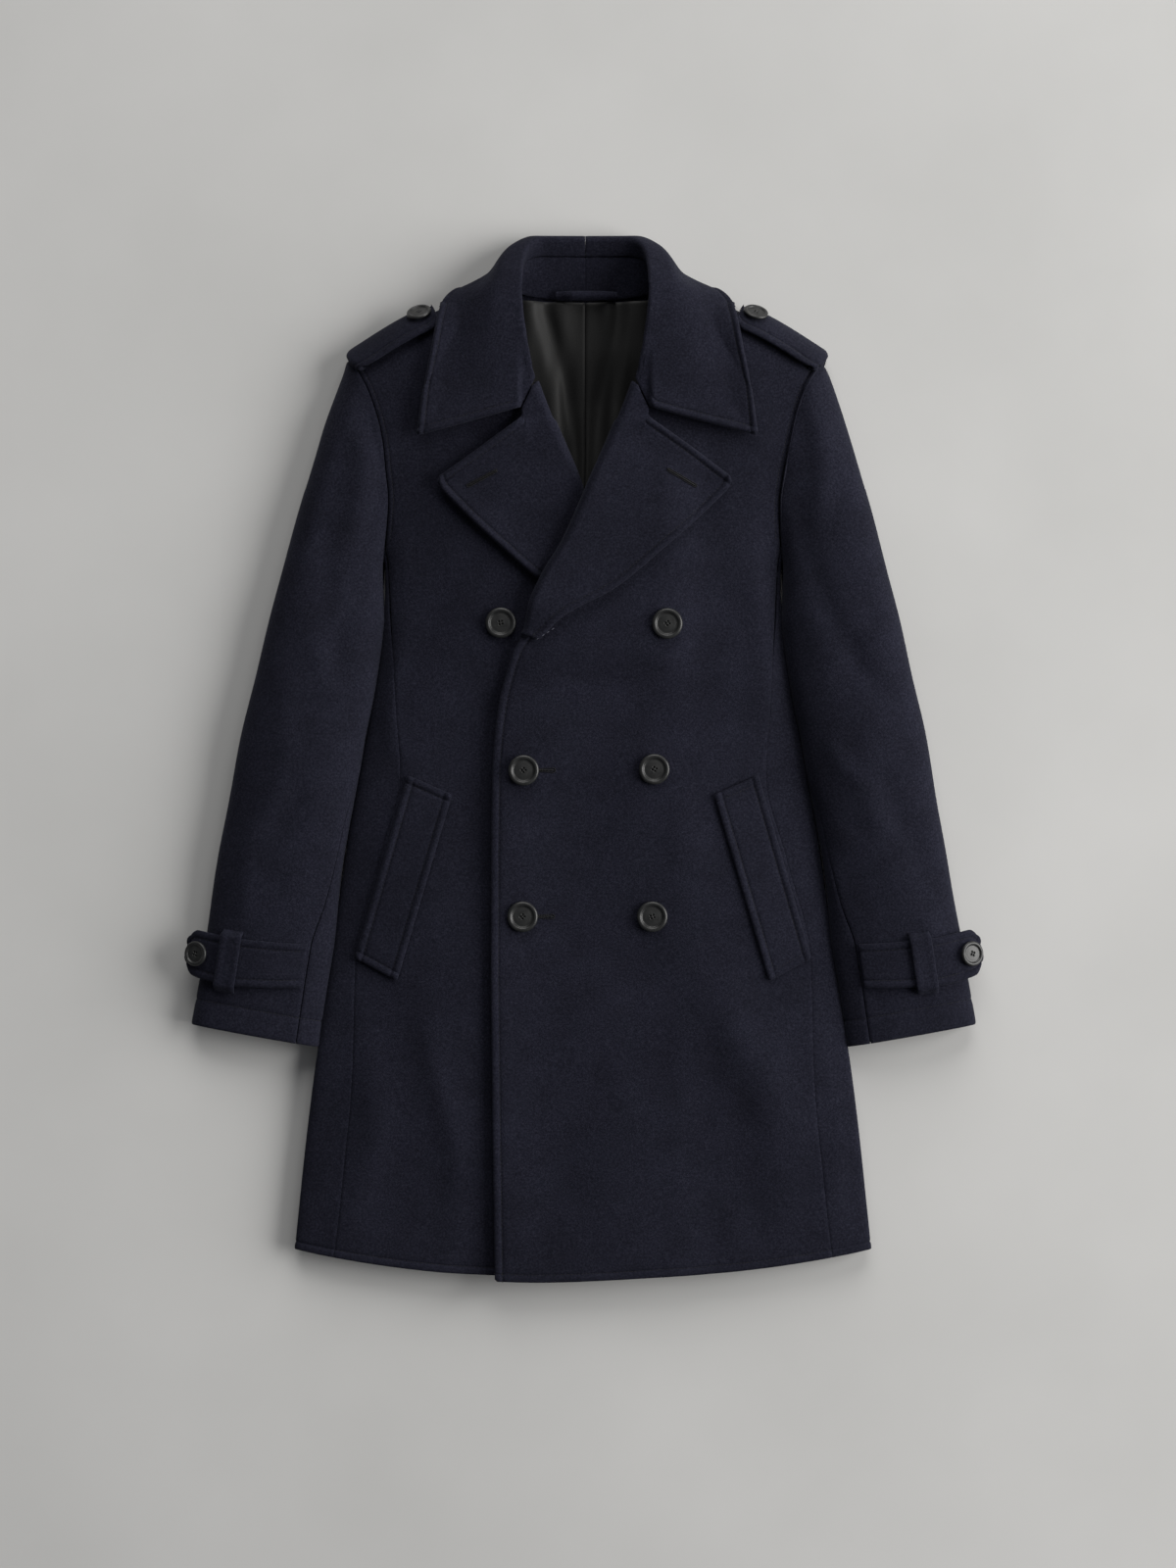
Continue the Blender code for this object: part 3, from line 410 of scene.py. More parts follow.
def draw_together(points, edges, close, free):
    """Sewn edges close up against the piece that they are sewn to."""
    for i, edge in enumerate(edges):
        rows, share = (points.swapaxes(0, 1), free.swapaxes(0, 1)) if i < 2 else (points, free)
        first, second = (0, 1) if i % 2 == 0 else (-1, -2)
        out = rows[first] - rows[second]
        far = {"sewn": close, "armhole": ARMHOLE_CLOSE}.get(edge, GORGE_CLOSE * (1 - share[first][:, None]))
        rows[first] += out / np.maximum(np.linalg.norm(out, axis=-1, keepdims=True), 1e-9) * far


def cloth(name, surface, edges, material, side=1, pitch=4.0, wall=CLOTH, us=(0, 1), vs=(0, 1),
          bumps=None, seam=0.4, rim=0.35, corner=2.5, joined=None, close=0.12):
    """A sewn piece: rims puffed and rounded at turned edges, sunk stitching, and seams that draw in."""
    points, fars = lay(surface, edges, pitch, us, vs, corner)
    free = np.ones(points.shape[:2]) if joined is None else 1 - joined(points)
    round_off = np.ones(points.shape[:2])
    sink = np.zeros(points.shape[:2])
    for far, edge in zip(fars, edges):
        if edge in TURNED:
            over = np.clip((far + 0.05) / (wall * 0.6), 0, 1)
            round_off = np.minimum(round_off, blend(1, np.sqrt(1 - (1 - over) ** 2), free * 0.999))
            sink -= rim * np.exp(-((far - 3.4) / 2.6) ** 2) * free
            sink += seam * np.exp(-(far / 1.1) ** 2) * (1 - free)
        if edge in ("sewn", "armhole"):
            sink += seam * np.exp(-(far / 1.1) ** 2)
        if edge in ("turned", "hemmed"):
            sink += 0.9 * np.exp(-((far - STITCH[edge]) / 0.9) ** 2) * free
    draw_together(points, edges, close, free)
    lift = -sink if bumps is None else bumps(points, fars) - sink
    out = normals(points)
    points = points + out * lift[..., None]
    half = (wall / 2 * round_off)[..., None]
    outer, inner = points - out * (wall / 2 - half), points - out * (wall / 2 + half)
    outer[..., 2] = np.maximum(outer[..., 2], 0)
    inner[..., 2] = np.maximum(inner[..., 2], PRESSED)
    piece = shell(name, outer, inner, side, material)
    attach(piece, "root")
    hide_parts(name.removesuffix("_cloth"))
    return piece, outer


def fill(tree, node, inputs):
    """Give a node its inputs, each as a value or as the socket that feeds it."""
    for key, given in inputs.items():
        if isinstance(given, bpy.types.NodeSocket):
            tree.links.new(given, node.inputs[key])
        else:
            node.inputs[key].default_value = given
    return node


def add(tree, kind, inputs):
    """A new node with these inputs."""
    return fill(tree, tree.nodes.new(kind), inputs)


def noise(tree, scale, detail, where="Object", rough=0.5):
    """Noise over the object's own coordinates or its UV map."""
    source = tree.nodes.new("ShaderNodeTexCoord").outputs[where]
    settings = {"Scale": scale, "Detail": detail, "Roughness": rough, "Vector": source}
    return add(tree, "ShaderNodeTexNoise", settings).outputs["Fac"]


def shades(tree, value, *stops):
    """Colours read from a value: each stop is a position and a colour."""
    ramp = add(tree, "ShaderNodeValToRGB", {"Fac": value})
    ends = ramp.color_ramp.elements
    while len(ends) < len(stops):
        ends.new(0.5)
    for element, (position, colour) in zip(ends, stops):
        element.position, element.color = position, (*colour, 1)
    return ramp.outputs["Color"]


def bump(tree, height, distance, **more):
    """The normals of a surface that is raised by a height."""
    return add(tree, "ShaderNodeBump", {"Height": height, "Distance": distance} | more).outputs["Normal"]


def material_of(name, look):
    """A new material; its look gives the inputs of its main shader."""
    material = bpy.data.materials.new(name)
    material.use_nodes = True
    tree = material.node_tree
    fill(tree, tree.nodes["Principled BSDF"], look(tree))
    return material


def speckled(roughness, specular, scale, detail, dark, light, where="Object"):
    """A look that wanders between two colours."""
    def look(tree):
        tone = shades(tree, noise(tree, scale, detail, where), (0.3, dark), (0.7, light))
        return {"Base Color": tone, "Roughness": roughness, "Specular IOR Level": specular}
    return look


def melton(tree):
    """Felted navy wool: short matt fibres over a hidden weave, slightly uneven in tone."""
    fibres = shades(tree, noise(tree, 520, 4, rough=0.75), (0.36, (0.0062, 0.0065, 0.0125)),
                    (0.5, (0.0112, 0.0116, 0.0208)), (0.70, (0.0230, 0.0235, 0.0375)))
    cloud = shades(tree, noise(tree, 24, 5, rough=0.6), (0.3, (0.80, 0.80, 0.80)), (0.7, (1.18, 1.18, 1.16)))
    product = tree.nodes.new("ShaderNodeMix")
    product.data_type, product.blend_type = "RGBA", "MULTIPLY"
    fill(tree, product, {0: 1.0, 6: fibres, 7: cloud})     # its factor and its two colours
    rough = bump(tree, noise(tree, 1300, 3, rough=0.8), 0.00035)
    soft = bump(tree, noise(tree, 190, 3, rough=0.6), 0.0006, Normal=rough, Strength=0.6)
    return {"Base Color": product.outputs[2], "Roughness": 0.9, "Specular IOR Level": 0.1, "Normal": soft,
            "Sheen Weight": 0.05, "Sheen Roughness": 0.5, "Sheen Tint": (0.62, 0.66, 0.85, 1)}


def thread_colour(name, colour):
    dark, light = [[c * share for c in colour] for share in (0.8, 1.2)]
    return material_of(name, speckled(0.6, 0.35, 2500, 2, dark, light))


MELTON = material_of("navy melton", melton)
# Navy thread made darker than the cloth: the thread is real, and its extra darkness is painted shade of the
# groove that the stitching sinks into
THREAD_WITH_GROOVE_SHADE = thread_colour("navy thread darkened as groove shade", (0.0045, 0.0045, 0.0080))
# Near-black beads laid along each buttonhole's slit: painted shade in the opening, not a dark material
SLIT_SHADE = thread_colour("painted shade in buttonhole slit", (0.0018, 0.0018, 0.0025))


def stitch_tree():
    """Nodes that lay stitches along lines: short threads, a little uneven, with a gap after each."""
    tree = bpy.data.node_groups.new("rows of stitches", "GeometryNodeTree")
    for name, way, kind in (("Geometry", "INPUT", "Geometry"), ("Spacing", "INPUT", "Float"),
                            ("Length", "INPUT", "Float"), ("Width", "INPUT", "Float"),
                            ("Thread", "INPUT", "Material"), ("Seed", "INPUT", "Int"),
                            ("Geometry", "OUTPUT", "Geometry")):
        tree.interface.new_socket(name, in_out=way, socket_type="NodeSocket" + kind)
    given = tree.nodes.new("NodeGroupInput").outputs
    line = add(tree, "GeometryNodeMeshToCurve", {"Mesh": given["Geometry"]}).outputs["Curve"]
    spaced = tree.nodes.new("GeometryNodeResampleCurve")
    spaced.mode = "LENGTH"
    fill(tree, spaced, {"Curve": line, "Length": given["Spacing"]})
    bead = add(tree, "GeometryNodeMeshUVSphere", {"Segments": 6, "Rings": 5, "Radius": 0.5})
    shape = {"X": given["Width"], "Y": given["Width"], "Z": given["Length"]}
    size = add(tree, "ShaderNodeCombineXYZ", shape).outputs["Vector"]
    stitch = add(tree, "GeometryNodeTransform", {"Geometry": bead.outputs["Mesh"], "Scale": size})
    turned = tree.nodes.new("FunctionNodeAlignRotationToVector")
    turned.axis = "Z"
    fill(tree, turned, {"Vector": tree.nodes.new("GeometryNodeInputTangent").outputs["Tangent"]})
    uneven = add(tree, "FunctionNodeRandomValue", {2: 0.85, 3: 1.12, "Seed": given["Seed"]})
    laid = add(tree, "GeometryNodeInstanceOnPoints",
               {"Points": spaced.outputs["Curve"], "Instance": stitch.outputs["Geometry"],
                "Rotation": turned.outputs["Rotation"], "Scale": uneven.outputs[1]})
    real = add(tree, "GeometryNodeRealizeInstances", {"Geometry": laid.outputs["Instances"]})
    thread = {"Geometry": real.outputs["Geometry"], "Material": given["Thread"]}
    coloured = add(tree, "GeometryNodeSetMaterial", thread)
    add(tree, "NodeGroupOutput", {"Geometry": coloured.outputs["Geometry"]})
    return tree


STITCHES = stitch_tree()


def grown(name, lines, tree, **inputs):
    """A mesh that a node tree makes from lines of points, with its modifier taken off again."""
    vertices, edges = [], []
    for line in lines:
        edges += [(len(vertices) + i, len(vertices) + i + 1) for i in range(len(line) - 1)]
        vertices += [tuple(spot) for spot in line]
    base = bpy.data.meshes.new(name + " lines")
    base.from_pydata(vertices, edges, [])
    piece = put(name, base)
    modifier = piece.modifiers.new("grown", "NODES")
    modifier.node_group = tree
    for item in tree.interface.items_tree:
        if item.name in inputs:
            modifier[item.identifier] = inputs[item.name]
    graph = bpy.context.evaluated_depsgraph_get()
    mesh = bpy.data.meshes.new_from_object(piece.evaluated_get(graph), depsgraph=graph)
    piece.modifiers.clear()
    piece.data = mesh
    mesh.shade_smooth()
    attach(piece, "root")
    return piece


def line_in(points, edges, which, side, start=0, end=0, past=0):
    """The row of points where topstitching runs inside one of a cloth's edges, without its start and end."""
    edge = edges["left right low high".split().index(which)]
    spot = EDGES[edge].index(STITCH[edge])
    row = {"left": points[:, spot], "right": points[:, -1 - spot],
           "low": points[spot], "high": points[-1 - spot]}[which]
    line = place(row[start:len(row) - end], side)
    return line[np.abs(line[:, 0]) > past * MM]


def topstitch(name, lines, spacing=0.0034, length=0.0028, width=0.0007, thread=THREAD_WITH_GROOVE_SHADE, seed=3):
    grown(name, lines, STITCHES, Spacing=spacing, Length=length, Width=width, Thread=thread, Seed=seed)


def front_bumps(side):
    """The stitching sinks in by the armhole, and the under front drops where the other laps over it."""
    def bumps(points, fars):
        x, y = points[..., 0] * side, points[..., 1]
        row = -0.5 * np.exp(-((fars[1] - STITCH["armhole"]) / 0.7) ** 2) * step(y, UNDERARM, UNDERARM + 14)
        beside = np.exp(-((x - body("edge", y)) / 42) ** 2) * step(y, 95, 40)
        return row - (UNDER_DROP * beside if side < 0 else 0)
    return bumps


def on_cloth(points, side, x, y, lift):
    """The place above a laid cloth's outer side at x and y, from its nearest points."""
    real = place(points.reshape(-1, 3), side) / MM
    far = np.hypot(real[:, 0] - x, real[:, 1] - y) - real[:, 2] * 0.02
    near = np.argsort(far)[:4]
    weights = 1 / (far[near] - far[near].min() + 0.5)
    return np.array([x, y, (real[near, 2] * weights).sum() / weights.sum() + lift]) * MM


def buttonhole(name, points, side, start, end, width, eyelet=0.0):
    """A worked buttonhole: close stitches all round its slit, and round an eyelet at its end; the near-black
    slit is painted shade.
    """
    start, end = np.array(start, float), np.array(end, float)
    run = (end - start) / np.linalg.norm(end - start)
    off = np.array([-run[1], run[0]])
    turns = np.linspace(math.pi / 2, -math.pi / 2, 9)
    ring = [end + (width + eyelet) * (run * math.cos(turn) + off * math.sin(turn)) for turn in turns]
    ring += [start - width * (run * math.cos(turn) - off * math.sin(turn)) for turn in -turns]
    ring = np.array(ring + ring[:1])
    spans = np.concatenate([[0], np.cumsum(np.linalg.norm(np.diff(ring, axis=0), axis=1))])
    outline = [on_cloth(points, side, *[np.interp(far, spans, ring[:, i]) for i in (0, 1)], 0.1)
               for far in np.arange(0, spans[-1], 0.8)]
    topstitch(name + "_edge", [outline], 0.0008, 0.0009, 0.0014, THREAD_WITH_GROOVE_SHADE, 11)
    # The slit: near-black beads, painted shade in the cut
    slit = [on_cloth(points, side, *blend(start, end, share), 0.5) for share in np.linspace(0, 1, 9)]
    topstitch(name + "_slit_shade", [slit], 0.0006, 0.0022, 0.0016, SLIT_SHADE, 12)


FRONT_EDGES = ("turned", "armhole", "turned", "sewn")
UNDER_DROP = 5.5       # the right front drops this much where the left one laps over it
FRONT_HOLES = [((-43.5, -11), (-28.5, -11)), ((-44.5, -151.5), (-29.5, -151.5))]    # their two ends
for name, side in SIDES:
    piece, outer = cloth(f"front_{name}_cloth", front(side), FRONT_EDGES, MELTON, side, vs=(0, 3),
                         bumps=front_bumps(side), rim=0.6)
    by_armhole = line_in(outer, FRONT_EDGES, "right", side)
    above = (by_armhole[:, 1] > (UNDERARM + 8) * MM) & (by_armhole[:, 2] > 0.012)
    topstitch(f"front_{name}_stitching",
              [line_in(outer, FRONT_EDGES, edge, side) for edge in ("left", "low")] + [by_armhole[above]])
    if side > 0:
        for row, (start, end) in enumerate(FRONT_HOLES):
            buttonhole(f"front_buttonhole_{row + 1}", outer, side, start, end, 1.1, 1.0)


# ------------------------------------------------------------ side panels and back
# Side panels and a back of the same melton, seamed to the fronts and to each other. The back lies on the
# floor, and its creases are pressed flat by the coat's weight.

FOLD_TURN = 9          # the side fold turns under within this width
PANEL_FOLD = (0.55, 0.75)      # the side fold's share of the side panel's width
UNDERARM_DIP = 24      # the side panel's top sinks this much at the side fold
BACK_SHORT = 1.5       # the back's hem lies this far inside the front's
BACK_NECK = 441.5      # height of the back's neckline at its middle
BACK_NECK_RISE = 4     # and its rise to the shoulder
BACK_EDGES = ("sewn", "sewn", "turned", "raw")     # of the side panels too
BACK_CREASED = 0.35    # share of the creases that the coat's weight leaves in it


def side_panel(side):
    def surface(u, v):
        """A side panel: u runs from the front seam over the side fold and back to the back seam."""
        fold, flat = PANEL_FOLD
        dip = UNDERARM_DIP * np.sin(np.clip(u / fold, 0, 1) * math.pi / 2) * (1 - step(u, flat, 1))
        y = blend(HEM_SIDE, UNDERARM, v) - dip * v
        half, fold_height = body("half_width", y), body("side", y)
        start = np.minimum(outer_edge(y, "front") + 2 * SEAM_GAP + 1.8 * step(y, 80, 140), half - 0.8)
        end = np.minimum(outer_edge(y, "back") + 2 * SEAM_GAP, half - 3)
        reach = blend(np.arcsin(start / half), math.pi / 2, np.clip(u / fold, 0, 1))
        top_x = half * np.sin(reach)
        turn = np.clip((u - fold) / (flat - fold), 0, 1) * math.pi / 2
        under_x = half - np.minimum(FOLD_TURN, half - end - 1) * (1 - np.cos(turn))
        under_x = blend(under_x, end, np.clip((u - flat) / (1 - flat), 0, 1))
        x = np.where(u > fold, under_x, top_x)
        z = np.where(u > fold, fold_height * (1 - np.sin(turn)), body_top(top_x, y, side))
        return point(x, from_hem(x, v) - dip * v, z)
    return surface


def back(u, v):
    """The back, seen from below: flat on the floor, and its neck on the fall folded under it."""
    across = np.abs(1 - 2 * u)
    low, high = np.minimum(v, 1), np.clip(v - 1, 0, 1)
    inset = SHOULDER_TURN + SHOULDER_UNDER + 3 * SEAM_GAP
    tip, neck = np.array([TIP_X, TIP_Y, 0]) + INWARD * inset, np.array([NECK_X, NECK_Y, 0]) + INWARD * inset
    side_y = blend(blend(HEM_SIDE, UNDERARM, low), tip[1], high)
    x = blend(outer_edge(side_y, "back"), tip[0] - 2, high ** 12) * across
    on_shoulder = shoulder("y", x - INWARD[0] * inset) + INWARD[1] * inset
    neckline = BACK_NECK + BACK_NECK_RISE * (x / neck[0]) ** 2
    top_y = np.where(x < neck[0], neckline, on_shoulder)
    y = blend(from_hem(x, low) + BACK_SHORT * (1 - low) ** 3, top_y, high)
    return point(x * np.sign(1 - 2 * u), y, body_floor(x, y))


for name, side in SIDES:
    piece, outer = cloth(f"side_{name}_cloth", side_panel(side), BACK_EDGES, MELTON, side)


def back_bumps(points, fars):
    """Creases of the back, pressed flat by the coat's weight, so they only rise off the floor."""
    inside = step(np.minimum.reduce(fars), 2, 30)
    lift = creases(-points[..., 0], points[..., 1], CREASES) + waves(points[..., 0], points[..., 1])
    return -BACK_CREASED * np.abs(lift) * inside


piece, outer = cloth("back_cloth", back, BACK_EDGES, MELTON, pitch=6.0, vs=(0, 2), bumps=back_bumps)


# ------------------------------------------------------------ sleeves
# Two-piece sleeves set into the armholes, softly filled out. Their front seams come round to the top below
# the elbow and run to the cuff.

# Sleeve from the armhole to the cuff: inner edge, outer edge, height, side fold, and the front seam's place.
# Round the sleeve, a turn of 0 is the inner edge, 1 the outer edge, and from 1 to 2 it runs back underneath.
SLEEVE = table("at inner_x inner_y outer_x outer_y height side seam",
               (0.0, 193.5, 179, 232.5, 376, 40, 13, -0.26),
               (0.1, 193.6, 134, 269.5, 268, 46, 15, -0.26),
               (0.2, 199.4, 88, 292, 185, 48, 16, -0.26),
               (0.3, 206.9, 43, 309.5, 116, 48, 17, -0.22),
               (0.4, 215.2, -3, 323.7, 52, 47, 17, -0.06),
               (0.5, 223.6, -49, 336, -6, 45, 16, 0.105),
               (0.6, 231, -95, 346.5, -62, 43, 16, 0.145),
               (0.7, 237.2, -141, 355.5, -115, 41, 15, 0.2),
               (0.8, 242.8, -186, 363.5, -163, 39, 15, 0.265),
               (0.9, 249.2, -232, 371, -210, 37, 14, 0.27),
               (1.0, 255.8, -278, 379, -256, 34, 13, 0.27))
SLEEVE_BLEND = 0.45    # the armhole's shape fades out by here
SLEEVE_OUT = table("at right left",    # how much further out each sleeve's outer edge lies
                   (0, 0, 0), (0.05, 1, -3.5), (0.1, 0, -0.5), (0.2, -0.4, 4.4), (0.25, 0.3, 5),
                   (0.3, 0.8, 3.8), (0.4, 0.2, 1.8), (0.5, 0, 0.3), (0.7, -0.4, -1.6), (0.85, -1.4, 0.4),
                   (1, -1, 0.4))
SLEEVE_BACK_SEAM = 1.27        # the turn at which it lies
SLEEVE_SQUARE = 0.8    # how square the sleeve's section is
SLEEVE_SEAM_GAP = 0.006        # each side of its seams, in turns
ARMHOLE_OUT = 1.4      # the sleeve starts this far outside the body's edge


def along(points, share, soft=True):
    """x and y at this share of a line through the given points."""
    points = np.array(points, float)
    spans = np.linalg.norm(np.diff(points, axis=0), axis=1)
    known = np.concatenate([[0], np.cumsum(spans)]) / spans.sum()
    curve = smooth if soft else np.interp
    return curve(share, known, points[:, 0]), curve(share, known, points[:, 1])


def armhole(side, share):
    """The armhole from the underarm to the shoulder tip, on the body's top or on the floor."""
    x, y = along(np.column_stack([ARMHOLE[side + "_x"], ARMHOLE["y"]]), share)
    fold = float(body("side", ARMHOLE["y"][0]))
    if side == "front":
        z = body_top(x, y)
    else:
        near_fold = 1 - np.clip(share / 0.05, 0, 1)
        near_tip = 1 - np.clip((1 - share) / 0.07, 0, 1)
        tip = SHOULDER["height"][-1]
        z = fold * (1 - np.sqrt(1 - near_fold ** 2)) + tip * (1 - np.sqrt(1 - near_tip ** 2))
    return point(x + ARMHOLE_OUT, y - SEAM_GAP, z)


def sleeve_at(side, at, turn):
    """Points on a sleeve's outer side: 'at' runs from the armhole to the cuff, 'turn' round it."""
    at, turn = np.broadcast_arrays(np.asarray(at, float), np.asarray(turn, float) % 2)
    row = {name: read(SLEEVE, name, at) for name in SLEEVE}
    share = (1 - np.cos(turn * math.pi)) / 2
    x = blend(row["inner_x"], row["outer_x"], share)
    y = blend(row["inner_y"], row["outer_y"], share)
    fold = row["side"]
    over = fold + (row["height"] - fold) * np.abs(np.sin(turn * math.pi)) ** SLEEVE_SQUARE
    corner = fold / np.hypot(row["outer_x"] - row["inner_x"], row["outer_y"] - row["inner_y"])
    near = 1 - np.clip(np.minimum(share, 1 - share) / corner, 0, 1)
    beneath = fold * (1 - np.sqrt(1 - near ** 2))
    on_top = turn <= 1
    ring = point(x, y, np.where(on_top, over, beneath))
    start = np.where(on_top[..., None], armhole("front", share), armhole("back", share))
    place = blend(start, ring, step(at, 0, SLEEVE_BLEND)[..., None])
    place[..., 0] += read(SLEEVE_OUT, "left" if side > 0 else "right", at) * share
    return place


def sleeve(kind, side):
    """The sleeve's top or under piece, from seam to seam; v runs from the cuff up to the armhole."""
    def surface(u, v):
        seam = read(SLEEVE, "seam", 1 - v)
        start, end = (seam, SLEEVE_BACK_SEAM) if kind == "top" else (SLEEVE_BACK_SEAM, seam + 2)
        return sleeve_at(side, 1 - v, blend(start + SLEEVE_SEAM_GAP, end - SLEEVE_SEAM_GAP, u))
    return surface


# Creases of each sleeve, as for the body but with x outwards
SLEEVE_CREASES = {
    1: table("x1 y1 x2 y2 width height",
             (222, 352, 226, 215, 13, 3.0), (214, 250, 252, 60, 14, -2.2), (246, 260, 292, 90, 16, 1.6),
             (262, 60, 300, -120, 16, 2.0), (250, 120, 290, 60, 12, -2.0), (290, 0, 330, -140, 14, -1.6),
             (255, -60, 300, -95, 13, -1.8), (300, -200, 345, -150, 14, 1.4), (232, 20, 268, -30, 10, 1.4)),
    -1: table("x1 y1 x2 y2 width height",
              (219, 345, 218, 200, 13, 3.2), (200, 335, 199, 215, 8, -1.6), (240, 330, 262, 190, 14, 1.4),
              (230, 240, 256, 60, 15, -1.8), (215, 200, 232, 60, 11, -1.8), (275, 80, 306, -60, 14, 2.0),
              (240, 60, 285, 30, 13, -2.0), (262, -30, 310, -70, 14, -1.8), (305, -40, 335, -150, 12, 1.6),
              (290, -215, 350, -180, 12, 1.2), (262, 130, 250, 60, 10, 1.4))}
# The gap that the sleeve's inner fold closes to lie against the coat's side
SLEEVE_TOUCH = table("y gap", (-290, 1.4), (-220, 1.6), (-180, 2.4), (-140, 1.5), (-100, 0.9), (-60, 0.6),
                     (-20, 1.6), (20, 2), (60, 3.8), (100, 4.6), (132, 4.6), (156, 2), (185, 0))


def touching(surface):
    """The sleeve's inner fold lies against the coat's side."""
    def shape(u, v):
        points = surface(u, v)
        gap = np.interp(points[..., 1], *SLEEVE_TOUCH.values())
        far = points[..., 0] - body("half_width", points[..., 1]) - gap
        points[..., 0] -= gap * np.exp(-(far / 15) ** 2)
        return points
    return shape


def sleeve_bumps(side):
    def bumps(points, fars):
        x, y = points[..., 0], points[..., 1]
        inside = step(np.minimum.reduce(fars), 0, 16) * step(y, 380, 335)
        lift = (creases(x, y, SLEEVE_CREASES[side]) + waves(x * 1.4, y * 1.2)) * inside
        return blend(lift, -0.4 * np.abs(lift), step(points[..., 2], 14, 4))
    return bumps


SLEEVE_EDGES = ("sewn", "sewn", "hemmed", "sewn")
for name, side in SIDES:
    for kind, cut in (("top", (0.24, 0.7, 0.115)), ("under", (0.15, 0.68, 0.08))):
        piece, outer = cloth(f"{kind}_sleeve_{name}_cloth", touching(sleeve(kind, side)), SLEEVE_EDGES,
                             MELTON, side, bumps=sleeve_bumps(side), close=0.5)
        topstitch(f"{kind}_sleeve_{name}_stitching", [line_in(outer, SLEEVE_EDGES, "low", side)])


# ------------------------------------------------------------ pocket welts
# Slanted welts of doubled melton over the pocket mouths. They are topstitched all round and lie on the
# fronts.

WELT_TOP = [(125.7, -34.4), (169, -15.5)]      # its corners
WELT_LOW = [(179, -214), (220, -192)]
WELT_EDGES = ("turned",) * 4


def welt(side):
    def surface(u, v):
        x, y = [blend(blend(*low, u), blend(*top, u), v) for low, top in zip(zip(*WELT_LOW), zip(*WELT_TOP))]
        return point(x, y, front_top(x, y, side) + CLOTH + REST_GAP)
    return surface


for name, side in SIDES:
    piece, outer = cloth(f"pocket_welt_{name}_cloth", welt(side), WELT_EDGES, MELTON, side, pitch=3.0,
                         rim=1.0)
    topstitch(f"pocket_welt_{name}_stitching",
              [line_in(outer, WELT_EDGES, edge, side, 8, 8) for edge in ("left", "right", "low", "high")])


# ------------------------------------------------------------ lining
# The back lining of charcoal satin, in two halves seamed down the middle. The part that shows through the
# neck lies loose in soft folds.

LINING = 1.0           # satin
LINING_HALF = 86       # half its width
LINING_LOW = 200       # y of its lower end
LINING_FOLDS = table("x lean height width", (22, 12, 2.6, 8), (55, 4, 1.8, 9))


def lining(u, v):
    """Half of the back lining that shows through the neck, in soft folds on the back."""
    x = blend(SEAM_GAP, LINING_HALF, u)
    y = blend(LINING_LOW, BACK_NECK - 2 * SEAM_GAP + BACK_NECK_RISE * (x / LINING_HALF) ** 2, v)
    folds = sum(height * np.exp(-((x - place - lean * (1 - v)) / width) ** 2)
                for place, lean, height, width in zip(*LINING_FOLDS.values()))
    return point(x, y, body_floor(x, y) + CLOTH + REST_GAP + LINING + folds)


LOOSE_FOLDS = {    # across y, where each side's deepest fold runs, how deep and how wide it is
    1: table("y x depth width", (290, 9, 2.6, 8), (340, 15, 4.0, 9), (376, 22, 4.6, 9), (430, 31, 2.6, 8)),
    -1: table("y x depth width", (290, 9, 2.6, 8), (340, 17, 4.2, 9), (386, 25, 5.0, 9), (434, 38, 3.0, 8))}


def lining_bumps(side):
    def bumps(points, fars):
        x, y = points[..., 0], points[..., 1]
        row = {name: read(LOOSE_FOLDS[side], name, y) for name in LOOSE_FOLDS[side]}
        valley = -row["depth"] * np.exp(-((x - row["x"]) / row["width"]) ** 2)
        swell = 2.2 * np.exp(-((x - row["x"] - 15) / 10) ** 2)
        ripple = 0.25 * np.sin(x * 0.31 + y * 0.017) * np.sin(y * 0.043 + 1.3 * side)
        return (valley + swell + ripple) * step(fars[0], 0, 9) + 2.4
    return bumps


def satin(tree):
    """Charcoal satin with the fine unevenness of its threads."""
    tone = speckled(0.55, 0.3, 700, 3, (0.0095, 0.0095, 0.0096), (0.0160, 0.0160, 0.0158), "UV")
    return tone(tree) | {"Normal": bump(tree, noise(tree, 1500, 2, "UV"), 0.00008)}


SATIN = material_of("charcoal satin", satin)
for name, side in SIDES:
    piece, outer = cloth(f"lining_{name}_cloth", lining, ("sewn", "raw", "raw", "sewn"), SATIN, side,
                         wall=LINING, pitch=2.5, bumps=lining_bumps(side), seam=0.8)


# ------------------------------------------------------------ lapels, collar and hanger loop
# Wide lapels and a deep two-part collar of doubled melton, rolled softly over and topstitched near the
# edge. The hanger loop is sewn on behind the neck.

# Lapel outline: gorge and notch along the top, the point, then the long lower edge
GORGE_GAP = (1.6, 1.1)         # the lapel keeps this far off the collar, in x and y
LAPEL_LOWER = [(142, 270), (139, 261), (132, 253), (78, 202.5), (30, 163), (-11.4, 141), (-50, 113)]
LAPEL_CORNER = (60.5, 328.5)   # its corner at the notch
LAPEL_TOP_Y, LAPEL_BREAK_Y = 357, 117      # the roll's upper and lower end
ROLL_UNDER = math.radians(55)      # the roll ends this far under its middle
ROLL_END_RISE = 5      # and its upper end slants up to the collar
ROLL_PUFF = 5.5        # the left lapel stands this much higher at its roll
RIGHT_PUFF = (0.2, 0.42)       # and the right one loses that height between these shares of its length
LAPEL_END = (6.5, 2.2)         # its lower end runs this far out and down into the front's edge
LAPEL_HOLES = {1: ((81.7, 276.3), (107.4, 261.7)), -1: ((-83.6, 275.6), (-110, 261.7))}      # their ends
BREAK_TACK = [(-43, 115), (-29, 124)]      # the stitches that hold the left lapel's lower end
NOTCH_X = 68           # collar and lapel are topstitched outside this x
RESTING, FREE_WALL = 1.2, 1.4  # they stand this far off the cloth below, and are this much thicker

